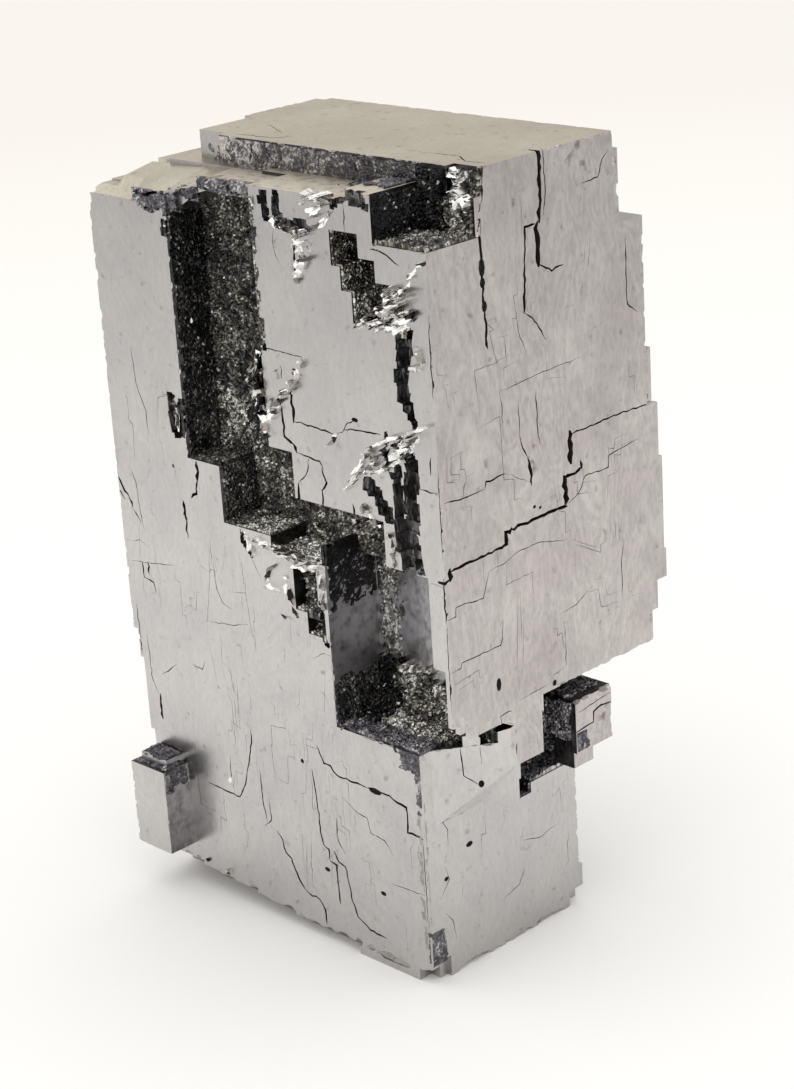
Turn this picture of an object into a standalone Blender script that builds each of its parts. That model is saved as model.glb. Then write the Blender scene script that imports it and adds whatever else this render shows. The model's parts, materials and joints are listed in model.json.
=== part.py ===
"""Silver-grey hopper crystal: one upright block of stacked growth steps, hollowed in stairs."""

import bmesh
import bpy
from mathutils import Matrix, Vector

MM = 0.001

# Driving sizes in millimetres. X runs from the left edge to the front upright edge at 0, Y runs back from the
# left-front face at 0, and Z runs up from the corner of the foot at 0, a little above the base.
WIDTH = 46.6
TOP = 80.0
BASE = -0.8
TRUNK_BACK = 29.6
BELLY_BACK = 32.0
SIDE_CRYSTAL_FRONT = -3.3

LEFT = -WIDTH
RIGHT = 0.0
FRONT = 0.0
OVERLAP = 1.0
OUTSIDE = 2.0

# Heights of the main ledges
LEDGE = 24.2
UNDERSIDE = 27.4
HEAD_FLOOR = 71.2
CORNER_TOP = 74.2
SHOULDER = 75.0
TERRACE = 77.2
NOTCH_FLOOR = 73.8
TONGUE_LOW = 21.4

# Planes set back from the faces
FOOT_RIGHT = -4.7
FOOT_BACK = 22.2
HEAD_BACK = 26.2
SLAB_FRONT = 6.4
SLAB_BACK = 25.5
SLAB_LEFT = -37.4
TALL_LEFT = -35.0
TALL_RIGHT = -22.6
TALL_DEPTH = 5.0
LOW_LEFT = -16.0
LOW_DEPTH = 6.8

CRACK_WIDTH = 0.45
CRACK_DEPTH = 0.9

# The origin is the middle of the object's box, on the base
ORIGIN = Vector(((LEFT + RIGHT) / 2, (SIDE_CRYSTAL_FRONT + BELLY_BACK) / 2, BASE))


def clear_scene():
    for scene_object in list(bpy.data.objects):
        bpy.data.objects.remove(scene_object, do_unlink=True)


def new_collection(name):
    collection = bpy.data.collections.new(name)
    bpy.context.scene.collection.children.link(collection)
    return collection


def block(name, collection, x, y, z, drop=0.0):
    """A box between two planes on each axis, in millimetres. Its underside can slope down to the left."""
    bm = bmesh.new()
    bmesh.ops.create_cube(bm, size=2.0)
    for corner in bm.verts:
        side = [planes[round((sign + 1) / 2)] for planes, sign in zip((x, y, z), corner.co)]
        if corner.co.x < 0 and corner.co.z < 0:
            side[2] -= drop
        corner.co = (Vector(side) - ORIGIN) * MM
    mesh = bpy.data.meshes.new(name)
    bm.to_mesh(mesh)
    bm.free()
    piece = bpy.data.objects.new(name, mesh)
    collection.objects.link(piece)
    return piece


def guide(piece):
    piece.hide_render = True
    piece.display_type = "WIRE"


def grow(name, x, y, z, drop=0.0):
    """A block that the crystal grew on its trunk."""
    guide(block(name, growths, x, y, z, drop))


def hollow(name, x, y, z):
    """A box of space that the crystal never filled."""
    guide(block(name, hollows, x, y, z))


def ribbon(route, width):
    """The outline round a route of square turns, half the width to either side of it."""
    points = [Vector(point) for point in route]
    steps = [(after - before).normalized() for before, after in zip(points, points[1:])]
    sides = [Vector((-step.y, step.x)) for step in steps]
    turns = [sides[0]] + [before + after for before, after in zip(sides, sides[1:])] + [sides[-1]]
    left = [point + turn * width / 2 for point, turn in zip(points, turns)]
    right = [point - turn * width / 2 for point, turn in zip(points, turns)]
    return left + right[::-1]


def crack(name, face, route, width=CRACK_WIDTH, depth=CRACK_DEPTH):
    """A stepped crack: the ribbon of its route across a face, sunk into that face."""
    outline = ribbon(route, width)
    curve = bpy.data.curves.new(name, "CURVE")
    curve.dimensions = "2D"
    curve.fill_mode = "BOTH"
    curve.extrude = (OUTSIDE + depth) / 2 * MM
    spline = curve.splines.new("POLY")
    spline.points.add(len(outline) - 1)
    for spline_point, point in zip(spline.points, outline):
        spline_point.co = (point.x * MM, point.y * MM, 0.0, 1.0)
    spline.use_cyclic_u = True
    flat = bpy.data.objects.new(name, curve)
    hollows.objects.link(flat)
    bpy.context.view_layer.update()
    mesh = bpy.data.meshes.new_from_object(flat.evaluated_get(bpy.context.evaluated_depsgraph_get()))
    bpy.data.objects.remove(flat)
    middle = (depth - OUTSIDE) / 2
    if face == "left front":
        stand = Matrix(((1, 0, 0), (0, 0, -1), (0, 1, 0)))
        place = Vector((0.0, FRONT + middle, 0.0))
    else:
        stand = Matrix(((0, 0, 1), (1, 0, 0), (0, 1, 0)))
        place = Vector((RIGHT - middle, 0.0, 0.0))
    mesh.transform(Matrix.Translation((place - ORIGIN) * MM) @ stand.to_4x4())
    bm = bmesh.new()
    bm.from_mesh(mesh)
    bmesh.ops.remove_doubles(bm, verts=bm.verts, dist=0.00001)
    bmesh.ops.recalc_face_normals(bm, faces=bm.faces)
    bm.to_mesh(mesh)
    bm.free()
    piece = bpy.data.objects.new(name, mesh)
    hollows.objects.link(piece)
    guide(piece)


def join(piece, collection, operation):
    modifier = piece.modifiers.new(collection.name, "BOOLEAN")
    modifier.operation = operation
    modifier.solver = "EXACT"
    modifier.operand_type = "COLLECTION"
    modifier.collection = collection


def bismuth():
    material = bpy.data.materials.new("bismuth")
    material.use_nodes = True
    shader = material.node_tree.nodes["Principled BSDF"]
    shader.inputs["Base Color"].default_value = (0.56, 0.53, 0.51, 1.0)
    shader.inputs["Metallic"].default_value = 1.0
    shader.inputs["Roughness"].default_value = 0.3
    return material


clear_scene()
parts = new_collection("bismuth_hopper_crystal")
growths = new_collection("growths")
hollows = new_collection("hollows")

# The trunk, from its underside to the foot of the head
crystal = block("crystal", parts, (LEFT, RIGHT), (FRONT, TRUNK_BACK), (UNDERSIDE, HEAD_FLOOR))

# Foot, narrower than the trunk and set back from its right face
grow("foot", (LEFT + 1.2, FOOT_RIGHT), (FRONT, FOOT_BACK), (16.0, UNDERSIDE + OVERLAP))
grow("foot_low", (LEFT + 1.8, FOOT_RIGHT), (FRONT, FOOT_BACK), (BASE, 16.5))
grow("foot_heel", (-30.0, FOOT_RIGHT), (12.0, FOOT_BACK + 0.5), (BASE, 3.4))
grow("foot_left", (LEFT + 0.7, FOOT_RIGHT), (FRONT, FOOT_BACK), (LEDGE, UNDERSIDE + OVERLAP))

# Back of the trunk: layers that bulge at mid height
grow("belly_wide", (LEFT + 2.5, RIGHT), (20.0, 31.2), (33.6, 52.4))
grow("belly_full", (LEFT + 5.0, RIGHT), (20.0, 31.7), (36.4, 46.5))
grow("belly_knob", (-9.0, RIGHT), (20.0, BELLY_BACK), (33.6, 36.6))
grow("belly_top", (LEFT + 4.0, RIGHT), (20.0, 30.3), (50.0, 58.0))
grow("belly_step", (LEFT + 3.0, RIGHT), (20.0, 30.5), (30.6, 36.0))

# Head: low corner at the left, then terraces up to the raised slab
grow("head", (LEFT, RIGHT), (FRONT, HEAD_BACK), (HEAD_FLOOR - OVERLAP, CORNER_TOP))
grow("shoulder", (LEFT, RIGHT), (3.2, HEAD_BACK), (70.0, SHOULDER))
grow("shoulder_back", (LEFT, RIGHT), (9.4, HEAD_BACK - 1.0), (70.0, SHOULDER + 0.9))
grow("shoulder_high", (-43.0, RIGHT), (4.4, HEAD_BACK - 0.6), (70.0, 76.1))
grow("terrace", (-40.2, RIGHT), (5.6, HEAD_BACK), (70.0, TERRACE))
grow("terrace_front", (-26.0, RIGHT), (FRONT, HEAD_BACK), (70.0, TERRACE + 0.3))
grow("terrace_step", (-10.4, RIGHT), (FRONT, HEAD_BACK), (70.0, 78.3))
grow("slab", (SLAB_LEFT, RIGHT), (7.4, SLAB_BACK), (70.0, TOP))
grow("slab_left", (SLAB_LEFT - 1.3, RIGHT), (14.6, SLAB_BACK - 0.9), (70.0, TOP))
grow("slab_lip", (-33.4, RIGHT), (SLAB_FRONT, 12.0), (70.0, TOP))

# Small crystals grown into the foot at its left front and right back corners
grow("side_crystal", (-45.2, -39.9), (SIDE_CRYSTAL_FRONT, 2.0), (3.9, 13.4))
grow("side_crystal_top", (-44.4, -40.4), (-2.4, 2.0), (3.9, 14.4))
grow("corner_crystal", (-14.0, -0.9), (18.3, 23.8), (18.6, 24.3))
grow("corner_crystal_low", (-14.0, -1.3), (18.3, 21.2), (16.9, 20.0))

# Tongue that hangs from the right face, and the low block beside it that slopes back into the foot
grow("tongue", (FOOT_RIGHT - OVERLAP, RIGHT), (6.4, 12.4), (TONGUE_LOW, UNDERSIDE + OVERLAP))
grow("tongue_root", (FOOT_RIGHT - OVERLAP, -0.5), (12.0, 13.2), (25.4, UNDERSIDE + OVERLAP))
grow("low_block", (FOOT_RIGHT - OVERLAP, RIGHT), (0.9, 8.6), (TONGUE_LOW, 25.0), drop=6.4)
grow("low_block_front", (FOOT_RIGHT - OVERLAP, -0.2), (1.1, 3.1), (24.0, 26.3))
grow("plate_edge", (-2.0, RIGHT), (2.3, 7.0), (26.5, UNDERSIDE + OVERLAP))

# Stair of hollows that runs down the left-front face
front = (FRONT - OUTSIDE, TALL_DEPTH)
hollow("tall_hollow", (TALL_LEFT, TALL_RIGHT), front, (48.5, TOP))
hollow("tall_pocket", (-37.2, -34.0), (FRONT - OUTSIDE, 1.6), (50.3, 55.0))
hollow("second_hollow", (-30.3, -19.4), front, (42.6, 52.0))
hollow("third_hollow", (-23.5, -7.5), front, (41.1, 47.4))
hollow("pocket", (-20.6, -17.3), (FRONT - OUTSIDE, 2.6), (35.6, 40.2))
hollow("pocket_low", (-19.0, -16.5), (FRONT - OUTSIDE, 2.0), (33.4, 36.6))
hollow("low_hollow", (LOW_LEFT, -2.1), (FRONT - OUTSIDE, LOW_DEPTH), (33.0, 43.0))
hollow("low_hollow_floor", (LOW_LEFT, -0.6), (FRONT - OUTSIDE, LOW_DEPTH), (LEDGE, 34.0))

# Hollows at the upper right of the same face
hollow("notch", (-6.6, RIGHT + OUTSIDE), (FRONT - OUTSIDE, SLAB_FRONT), (NOTCH_FLOOR, TOP))
hollow("stair_high", (-12.1, -8.5), (FRONT - OUTSIDE, 3.1), (71.2, 74.5))
hollow("stair_mid", (-11.0, -6.5), (FRONT - OUTSIDE, 4.0), (69.0, 72.3))
hollow("stair_low", (-9.7, -3.0), (FRONT - OUTSIDE, 3.4), (66.1, 70.3))
hollow("seam_high", (-4.2, -2.9), (FRONT - OUTSIDE, 3.0), (55.0, 67.0))
hollow("seam_low", (-5.6, -4.2), (FRONT - OUTSIDE, 3.6), (42.0, 53.2))
hollow("seam_side", (-4.8, -2.7), (FRONT - OUTSIDE, 2.8), (45.6, 50.4))
hollow("corner_chip", (-3.2, RIGHT + OUTSIDE), (FRONT - OUTSIDE, 8.2), (77.4, TOP))
hollow("slot_left", (-21.4, -20.2), (FRONT - OUTSIDE, 1.4), (74.6, TOP))
hollow("slot_right", (-19.5, -18.3), (FRONT - OUTSIDE, 1.4), (75.0, TOP))

# Hollows under the overhang of the right face
hollow("under_tongue", (-9.0, FOOT_RIGHT + 0.8), (14.0, 21.0), (15.5, UNDERSIDE))
hollow("tongue_pit", (-6.6, FOOT_RIGHT + 0.8), (13.7, 15.4), (14.4, 16.5))
hollow("plate_corner", (-1.6, RIGHT + OUTSIDE), (FRONT - OUTSIDE, 0.9), (UNDERSIDE - OVERLAP, 28.3))

# Broken edges of the base
hollow("base_left", (LEFT - OUTSIDE, -38.6), (FRONT - OUTSIDE, 3.4), (BASE - OUTSIDE, 2.2))
hollow("base_middle_left", (-39.0, -30.2), (FRONT - OUTSIDE, 2.7), (BASE - OUTSIDE, 1.4))
hollow("base_middle", (-30.4, -24.4), (FRONT - OUTSIDE, 2.1), (BASE - OUTSIDE, 0.9))
hollow("base_middle_right", (-24.6, -15.0), (FRONT - OUTSIDE, 1.5), (BASE - OUTSIDE, 0.5))
hollow("base_corner", (-6.6, FOOT_RIGHT + OUTSIDE), (FRONT - OUTSIDE, 1.6), (BASE - OUTSIDE, 0.5))
hollow("base_corner_high", (-5.3, FOOT_RIGHT + OUTSIDE), (FRONT - OUTSIDE, 2.6), (BASE - OUTSIDE, 1.5))
hollow("base_right", (-5.8, FOOT_RIGHT + OUTSIDE), (20.6, FOOT_BACK + OUTSIDE), (BASE - OUTSIDE, 0.9))
hollow("corner_notch", (-5.3, FOOT_RIGHT + OUTSIDE), (FRONT - OUTSIDE, 0.6), (1.2, 4.9))

# Guessed stair of hollows on the hidden back, and shallow growth steps on the hidden left side
for step in range(3):
    inset = 3.2 * step
    hollow(
        f"back_hollow_{step}",
        (-38.0 + inset, -11.0 - 0.7 * inset),
        (TRUNK_BACK - 1.2 - 1.6 * step, BELLY_BACK + OUTSIDE),
        (37.0 + 1.2 * inset, 65.0 - inset),
    )
    hollow(
        f"left_step_{step}",
        (LEFT - OUTSIDE, LEFT + 0.7 + 0.8 * step),
        (8.5 + 2.6 * step, TRUNK_BACK + OUTSIDE),
        (30.0 + 4.5 * step, 68.0 - 5.5 * step),
    )
hollow("back_corner", (LEFT - OUTSIDE, -31.0), (27.2, BELLY_BACK + OUTSIDE), (66.4, 75.0))
hollow("back_foot", (-20.0, FOOT_RIGHT - 2.4), (20.8, FOOT_BACK + OUTSIDE), (BASE - OUTSIDE, 12.6))
hollow("back_foot_low", (-34.0, FOOT_RIGHT - 1.8), (21.3, FOOT_BACK + OUTSIDE), (BASE - OUTSIDE, 6.2))

# Main stepped crack of the right face, and the cracks above and below it
crack("main_crack", "right front", ((31.9, 52.4), (18.2, 52.4), (18.2, 49.1), (17.1, 49.1), (17.1, 45.5),
                                    (8.5, 45.5), (8.5, 44.2), (0.8, 44.2), (0.8, 43.2), (-1.0, 43.2)))
crack("top_crack", "right front", ((15.2, 82.0), (15.2, 69.5), (16.6, 69.5)), width=0.5)
crack("upper_crack", "right front", ((14.6, 73.4), (12.6, 73.4), (12.6, 65.2), (14.2, 65.2), (14.2, 63.0)),
      width=0.35)
crack("edge_crack", "right front", ((6.9, 74.5), (6.9, 63.4)), width=0.5)
crack("low_crack", "right front", ((0.2, 39.4), (1.4, 39.4), (1.4, 40.1), (5.4, 40.1), (5.4, 42.0),
                                   (9.5, 42.0)), width=0.3)
crack("foot_crack", "left front", ((-21.0, 20.8), (-18.0, 20.8), (-18.0, 18.6), (-7.0, 18.6), (-7.0, 15.3),
                                   (-4.9, 15.3)), width=0.35)
crack("foot_fissure", "left front", ((-19.8, 18.4), (-19.8, 9.6), (-18.0, 9.6), (-18.0, 6.9), (-15.8, 6.9),
                                     (-15.8, 3.0), (-13.0, 3.0)), width=0.35)
crack("face_crack", "left front", ((-18.8, 58.2), (-18.8, 55.0), (-13.4, 55.0)), width=0.4)
crack("slit", "left front", ((-34.0, 48.0), (-34.0, 44.8)), width=0.5)
crack("tapered_slit", "left front", ((-36.5, 43.8), (-36.5, 40.0)))

join(crystal, growths, "UNION")
join(crystal, hollows, "DIFFERENCE")
crystal.data.materials.append(bismuth())
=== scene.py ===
"""Looks of the silver-grey bismuth hopper crystal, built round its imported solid."""

import json

import bmesh
import bpy
import numpy as np
from mathutils import Euler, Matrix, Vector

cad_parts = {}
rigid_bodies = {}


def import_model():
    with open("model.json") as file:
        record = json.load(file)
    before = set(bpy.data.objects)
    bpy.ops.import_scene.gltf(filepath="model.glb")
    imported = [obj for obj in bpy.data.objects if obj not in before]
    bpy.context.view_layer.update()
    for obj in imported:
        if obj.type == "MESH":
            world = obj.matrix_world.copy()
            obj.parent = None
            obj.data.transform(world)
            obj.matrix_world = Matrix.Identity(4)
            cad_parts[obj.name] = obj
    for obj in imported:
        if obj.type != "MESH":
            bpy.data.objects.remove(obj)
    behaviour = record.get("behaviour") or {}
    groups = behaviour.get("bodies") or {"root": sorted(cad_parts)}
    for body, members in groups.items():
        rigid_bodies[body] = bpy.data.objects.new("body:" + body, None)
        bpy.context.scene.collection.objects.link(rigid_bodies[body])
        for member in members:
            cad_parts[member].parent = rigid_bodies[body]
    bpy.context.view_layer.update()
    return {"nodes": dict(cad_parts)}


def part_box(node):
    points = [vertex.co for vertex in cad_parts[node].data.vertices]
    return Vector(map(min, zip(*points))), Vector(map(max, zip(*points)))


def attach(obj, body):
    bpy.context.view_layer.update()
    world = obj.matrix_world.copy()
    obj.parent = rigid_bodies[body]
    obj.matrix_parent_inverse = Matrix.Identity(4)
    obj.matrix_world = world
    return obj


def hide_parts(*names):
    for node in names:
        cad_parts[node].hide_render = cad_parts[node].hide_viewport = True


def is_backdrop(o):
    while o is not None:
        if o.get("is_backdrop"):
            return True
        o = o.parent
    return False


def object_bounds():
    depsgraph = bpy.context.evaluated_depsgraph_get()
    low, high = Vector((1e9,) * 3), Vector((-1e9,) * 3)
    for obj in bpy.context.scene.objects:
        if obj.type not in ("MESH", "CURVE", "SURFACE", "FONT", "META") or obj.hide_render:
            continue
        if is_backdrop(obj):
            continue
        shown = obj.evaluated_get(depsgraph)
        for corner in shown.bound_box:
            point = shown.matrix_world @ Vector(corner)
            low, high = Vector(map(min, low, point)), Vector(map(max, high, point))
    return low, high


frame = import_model()

# --- Crystal block: its shape -----------------------------------------------------------------------
# One body of bismuth metal, grown as stacked square layers from the melt. Thin stepped cracks run across its
# faces where a layer stopped or parted as it cooled, melt ate burrows into it, and its edges are chipped.
MM = 0.001
SIDE_CRYSTAL_REACH = 3.3
FOOT_DROP = 0.8
block_low, block_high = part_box("crystal")
CORNER = np.array((block_high.x, block_low.y + SIDE_CRYSTAL_REACH * MM, block_low.z + FOOT_DROP * MM))
AXIS_X, AXIS_Y, AXIS_Z = np.eye(3)


def wall(facing, plane):
    """A wall by the way it faces and the place of its plane on that axis, in crystal millimetres.

    It is given as its direction to the right of whoever looks at it, its direction up, the way out of it,
    and how far out it lies.
    """
    return {
        "front": (AXIS_X, AXIS_Z, -AXIS_Y, -plane),
        "right": (AXIS_Y, AXIS_Z, AXIS_X, plane),
        "up": (AXIS_X, AXIS_Y, AXIS_Z, plane),
        "back": (-AXIS_X, AXIS_Z, AXIS_Y, plane),
        "end": (-AXIS_Y, AXIS_Z, -AXIS_X, -plane),
    }[facing]


LEFT_FACE, RIGHT_FACE, FOOT_FACE = wall("front", 0.0), wall("right", 0.0), wall("right", -4.7)
LUMP_FACE, TOP_FACE = wall("right", -0.9), wall("up", 80.0)
BACK_FACE, BELLY_FACE, FOOT_BACK = wall("back", 29.6), wall("back", 31.7), wall("back", 22.2)
END_FACE, END_FLOOR, FOOT_END = wall("end", -46.6), wall("end", -44.3), wall("end", -44.8)
RIM_ALONG, RIM_OUT, RIM_PLANE = np.array((0.598, 0.801, 0.0)), np.array((0.801, -0.598, 0.0)), -4.68
RIM_FACE = (RIM_ALONG, AXIS_Z, RIM_OUT, RIM_PLANE)


def on_wall(face, u, v, height):
    """Points of a wall in crystal millimetres: u and v along its two directions, height out of it."""
    first, second, out, plane = face
    u, v, height = np.broadcast_arrays(u, v, height)
    return u[..., None] * first + v[..., None] * second + (plane + height)[..., None] * out


def new_piece(name, points, faces, turn_outward=True):
    """An object of points, in crystal millimetres from the front upright edge, and faces."""
    mesh = bpy.data.meshes.new(name)
    mesh.from_pydata((CORNER + points.reshape(-1, 3) * MM).tolist(), [], faces)
    if turn_outward:
        shell = bmesh.new()
        shell.from_mesh(mesh)
        bmesh.ops.recalc_face_normals(shell, faces=shell.faces)
        shell.to_mesh(mesh)
        shell.free()
    piece = bpy.data.objects.new(name, mesh)
    bpy.context.scene.collection.objects.link(piece)
    return piece


def tube(rings):
    """Faces of a closed tube through rings of the same number of points, with a cap at each end."""
    index = np.arange(rings.shape[0] * rings.shape[1]).reshape(rings.shape[:2])
    walls = np.stack([index[:-1], np.roll(index[:-1], -1, 1), np.roll(index[1:], -1, 1), index[1:]], -1)
    return walls.reshape(-1, 4).tolist() + [index[0][::-1].tolist(), index[-1].tolist()]


def prism(axis, start, end, *outline):
    """A flat outline carried straight along an axis: its points hold the other two coordinates, in order."""
    rings = np.stack([np.insert(np.array(outline, float), axis, reach, axis=1) for reach in (start, end)])
    return new_piece("prism", rings, tube(rings))


def box(low, high):
    """The prism between two corners."""
    (left, near, under), (right, far, over) = low, high
    return prism(1, near, far, (left, under), (right, under), (right, over), (left, over))


LEDGE_DEPTH = 5.7


def ledge(stations):
    """A solid carried along X through five-cornered rings, one for each station of a shoulder or a brow."""
    x, front, under, top, bend_depth, bend, back = np.array(stations).T
    deep = np.full(len(x), LEDGE_DEPTH)
    depths, heights = (front, front, bend_depth, deep, deep), (under, top, bend, back, under)
    rings = np.stack([np.stack((x, depth, height), 1) for depth, height in zip(depths, heights)], 1)
    return new_piece("ledge", rings, tube(rings))


CRACK_STEP = 0.5
CRACK_PROUD = 0.3
CRACK_TAPER = 0.16
CRACK_DEPTH = 2.4
CRACK_UNEVEN = (0.65, 1.2)
NARROWEST_END = 0.35


def crack(face, width, route, seed):
    """The space of a crack: a four-cornered profile carried along a route of straight runs.

    A run is divided into short steps. Each step moves sideways by a random amount, and the profile's width
    is the crack's width times a random factor, drawn in towards both ends of the route: slowly if it's thin.
    """
    rng = np.random.default_rng(seed)
    corners = np.array(route, float)
    reach = np.concatenate([[0.0], np.cumsum(np.linalg.norm(np.diff(corners, axis=0), axis=1))])
    runs = [
        np.linspace(start, end, max(1, round((end - start) / CRACK_STEP)), endpoint=False)
        for start, end in zip(reach[:-1], reach[1:])
    ]
    along = np.append(np.concatenate(runs), reach[-1])
    path = np.stack([np.interp(along, reach, corners[:, 0]), np.interp(along, reach, corners[:, 1])], 1)
    tangent = np.diff(path, axis=0)
    tangent /= np.linalg.norm(tangent, axis=1, keepdims=True)
    side = np.stack([-tangent[:, 1], tangent[:, 0]], 1)
    mitre = np.concatenate([side[:1], side[:-1] + side[1:], side[-1:]])
    mitre[1:-1] /= np.maximum((mitre[1:-1] * side[1:]).sum(1, keepdims=True), 0.7)
    path += mitre * rng.normal(0.0, 0.02 + 0.12 * width, (len(path), 1))
    ends = np.clip(np.minimum(along, reach[-1] - along) * width / CRACK_TAPER, NARROWEST_END, 1.0)
    half = 0.5 * width * ends * rng.uniform(*CRACK_UNEVEN, len(path))
    sink = CRACK_DEPTH * width * ends
    profile = ((1.0, CRACK_PROUD), (-1.0, CRACK_PROUD), (-0.5, -sink), (0.5, -sink))
    rings = [on_wall(face, *(path + mitre * (half * out)[:, None]).T, height) for out, height in profile]
    rings = np.stack(rings, 1)
    return new_piece("crack", rings, tube(rings))


LINE_WIDTHS = (0.045, 0.08)
LINE_GAPS = (0.4, 1.1)
SHORTEST_RUN = 0.4
LINE_LEAN = 0.16
RUN_UP = 1.4


def growth_lines(face, u_range, v_range, across, copies, count, seed):
    """Edges of layers that stopped: from a random start, a few runs that turn up and across, again and again.

    A run's length is drawn from an exponential law, times across for a run across. It leans from its
    direction by a random slope. Copies of a route lie behind it, as layers stop one behind another.
    """
    rng = np.random.default_rng(seed)
    lines = []
    for order in range(count):
        start = rng.uniform((u_range[0], v_range[0]), (u_range[1], v_range[1]))
        way = rng.choice((-1, 1))
        lengths = SHORTEST_RUN + rng.exponential(1.1, rng.integers(2, 7))
        upright = (np.arange(len(lengths)) + rng.integers(2)) % 2
        lean = rng.normal(0.0, LINE_LEAN, len(lengths)) * lengths
        sideways = np.where(upright, lean, across * lengths)
        upward = np.where(upright, RUN_UP * lengths, lean)
        corners = np.vstack([(0, 0), np.cumsum(np.stack([sideways, upward], 1), axis=0)]) * (way, 1)
        shifts = np.cumsum(rng.uniform(*LINE_GAPS, rng.integers(1, copies + 1)))
        for shift in shifts - shifts[0]:
            route = start + corners + shift * np.array((way, -1))
            route = np.clip(route, (u_range[0], v_range[0]), (u_range[1], v_range[1]))
            if np.linalg.norm(np.diff(route, axis=0), axis=1).min() > 0.1:
                lines.append(crack(face, rng.uniform(*LINE_WIDTHS), route, seed + order))
    return lines


def pit(face, u, v, radius_u, radius_v, depth):
    """The space of a pit: a ball of rings, stretched to its two radii and its depth."""
    turn = np.linspace(0.0, 2 * np.pi, 9)[:-1]
    rise = np.linspace(-0.45 * np.pi, 0.45 * np.pi, 5)
    wide, tall = np.cos(rise)[:, None], np.sin(rise)[:, None] + 0 * turn
    round_u, round_v = radius_u * wide * np.cos(turn), radius_v * wide * np.sin(turn)
    rings = on_wall(face, u + round_u, v + round_v, depth * tall)
    return new_piece("pit", rings, tube(rings))


BURROW_MOUTH = (1.0, 0.3)
BURROW_FLOOR = 0.7


def burrow(face, depth, route, seed):
    """Square pits along a route of (u, v, radius), half a radius apart.

    Each one's two half sides and its depth are the radius and the burrow's depth times random factors. Its
    mouth lies just proud of the wall, and its floor is the mouth's outline, made smaller.
    """
    rng = np.random.default_rng(seed)
    route = np.array(route)
    reach = np.concatenate([[0.0], np.cumsum(np.linalg.norm(np.diff(route[:, :2], axis=0), axis=1))])
    along = np.linspace(0.0, reach[-1], round(reach[-1] / (0.5 * route[:, 2].mean())) + 1)
    u, v, radius = (np.interp(along, reach, route[:, column]) for column in range(3))
    u, v = u + rng.normal(0.0, 0.16, len(along)) * radius, v + rng.normal(0.0, 0.2, len(along)) * radius
    half_u, half_v = radius * rng.uniform(0.6, 1.2, len(along)), radius * rng.uniform(0.6, 1.3, len(along))
    sinks = depth * rng.uniform(0.25, 1.0, len(along))
    pieces = []
    for place in range(len(along)):
        skew = rng.normal(0.0, 0.17, (4, 2))
        ring = np.array(((-1, -1), (1, -1), (1, 1), (-1, 1))) * (1 + skew) * (half_u[place], half_v[place])
        rings = [
            on_wall(face, u[place] + size * ring[:, 0], v[place] + size * ring[:, 1], height)
            for size, height in (BURROW_MOUTH, (BURROW_FLOOR, -sinks[place]))
        ]
        pieces.append(new_piece("pit", np.stack(rings), tube(np.stack(rings))))
    return pieces


def chips(start, end, count, size, seed):
    """Chips off an edge: uneven spindles along it at random places, up to size deep and thrice as long."""
    rng = np.random.default_rng(seed)
    start, end = np.array(start, float), np.array(end, float)
    ahead = (end - start) / np.linalg.norm(end - start)
    first = np.cross(ahead, AXIS_Y if abs(ahead @ AXIS_Y) < 0.5 else AXIS_X)
    second = np.cross(ahead, first)
    turn = np.linspace(0.0, 2 * np.pi, 6)[:-1]
    rise = np.linspace(-0.42 * np.pi, 0.42 * np.pi, 4)[:, None]
    pieces = []
    for place in rng.random(count):
        radius = size * rng.uniform(0.35, 1.0)
        uneven = radius * np.cos(rise) * rng.uniform(0.7, 1.3, (4, 5))
        offset = rng.normal(0.0, 0.25 * radius, 3)
        length = radius * rng.uniform(1.0, 3.0) * np.sin(rise) + 0 * turn
        around = (uneven * np.cos(turn))[..., None] * first + (uneven * np.sin(turn))[..., None] * second
        rings = start + place * (end - start) + offset + length[..., None] * ahead + around
        pieces.append(new_piece("chip", rings, tube(rings)))
    return pieces


# Spaces that the solid's plain cracks and slots take, filled before the uneven ones are cut there
FILLINGS = (
    ((-21.3, 0, 15), (-4.8, 1.1, 21.2)),
    ((-20.2, 0, 2.6), (-12.6, 1.1, 18.6)),
    ((-19.1, 0, 54.7), (-13.1, 1.1, 58.5)),
    ((-34.4, 0, 44.4), (-33.6, 1.1, 48.3)),
    ((-36.9, 0, 39.7), (-36.1, 1.1, 44.1)),
    ((-5.7, 0, 43), (-2.6, 4, 53.4)),
    ((-4.3, 0, 54.9), (-2.8, 4, 66.1)),
    ((-21.5, 0, 74.5), (-18.2, 1.6, 77.5)),
    ((-1.1, 0, 42.8), (0, 29.6, 52.8)),
    ((-1.1, 12.2, 62.7), (0, 16.9, 80)),
    ((-1.1, 6.5, 63.2), (0, 7.3, 74.7)),
    ((-1.1, 0, 39.1), (0, 9.8, 42.3)),
    ((-37.3, 0, 50.2), (-35, 1.7, 55.1)),
    ((-3.3, 7.5, 77.3), (0, 8.3, 80)),
    ((-5.4, 0, 1.1), (-4.7, 0.7, 5)),
)

# Tab that stands on the rim of the low hollow: an axis, its two ends and an outline
TABS = (
    (2, 23.9, 25.3, (-2.85, 4.05), (-1.78, 5.38), (-2.45, 5.88), (-3.46, 4.52)),
    (2, 25.2, 25.6, (-2.6, 4.3), (-1.95, 5.15), (-2.5, 5.7), (-3.2, 4.8)),
)
# Space in front of the block beside the tongue, down to the foot
FOOT_CORNER = (2, 14.5, 26.45, (-4.72, 0.7), (0.3, 0.7), (0.3, 8.22), (-4.72, 1.5))

# Wedge of space over the low block, under the tongue
NECK = (0, -3, 0.3, (5.3, 25), (8.3, 25.7), (6.8, 26.42), (5.3, 26.46))

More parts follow.
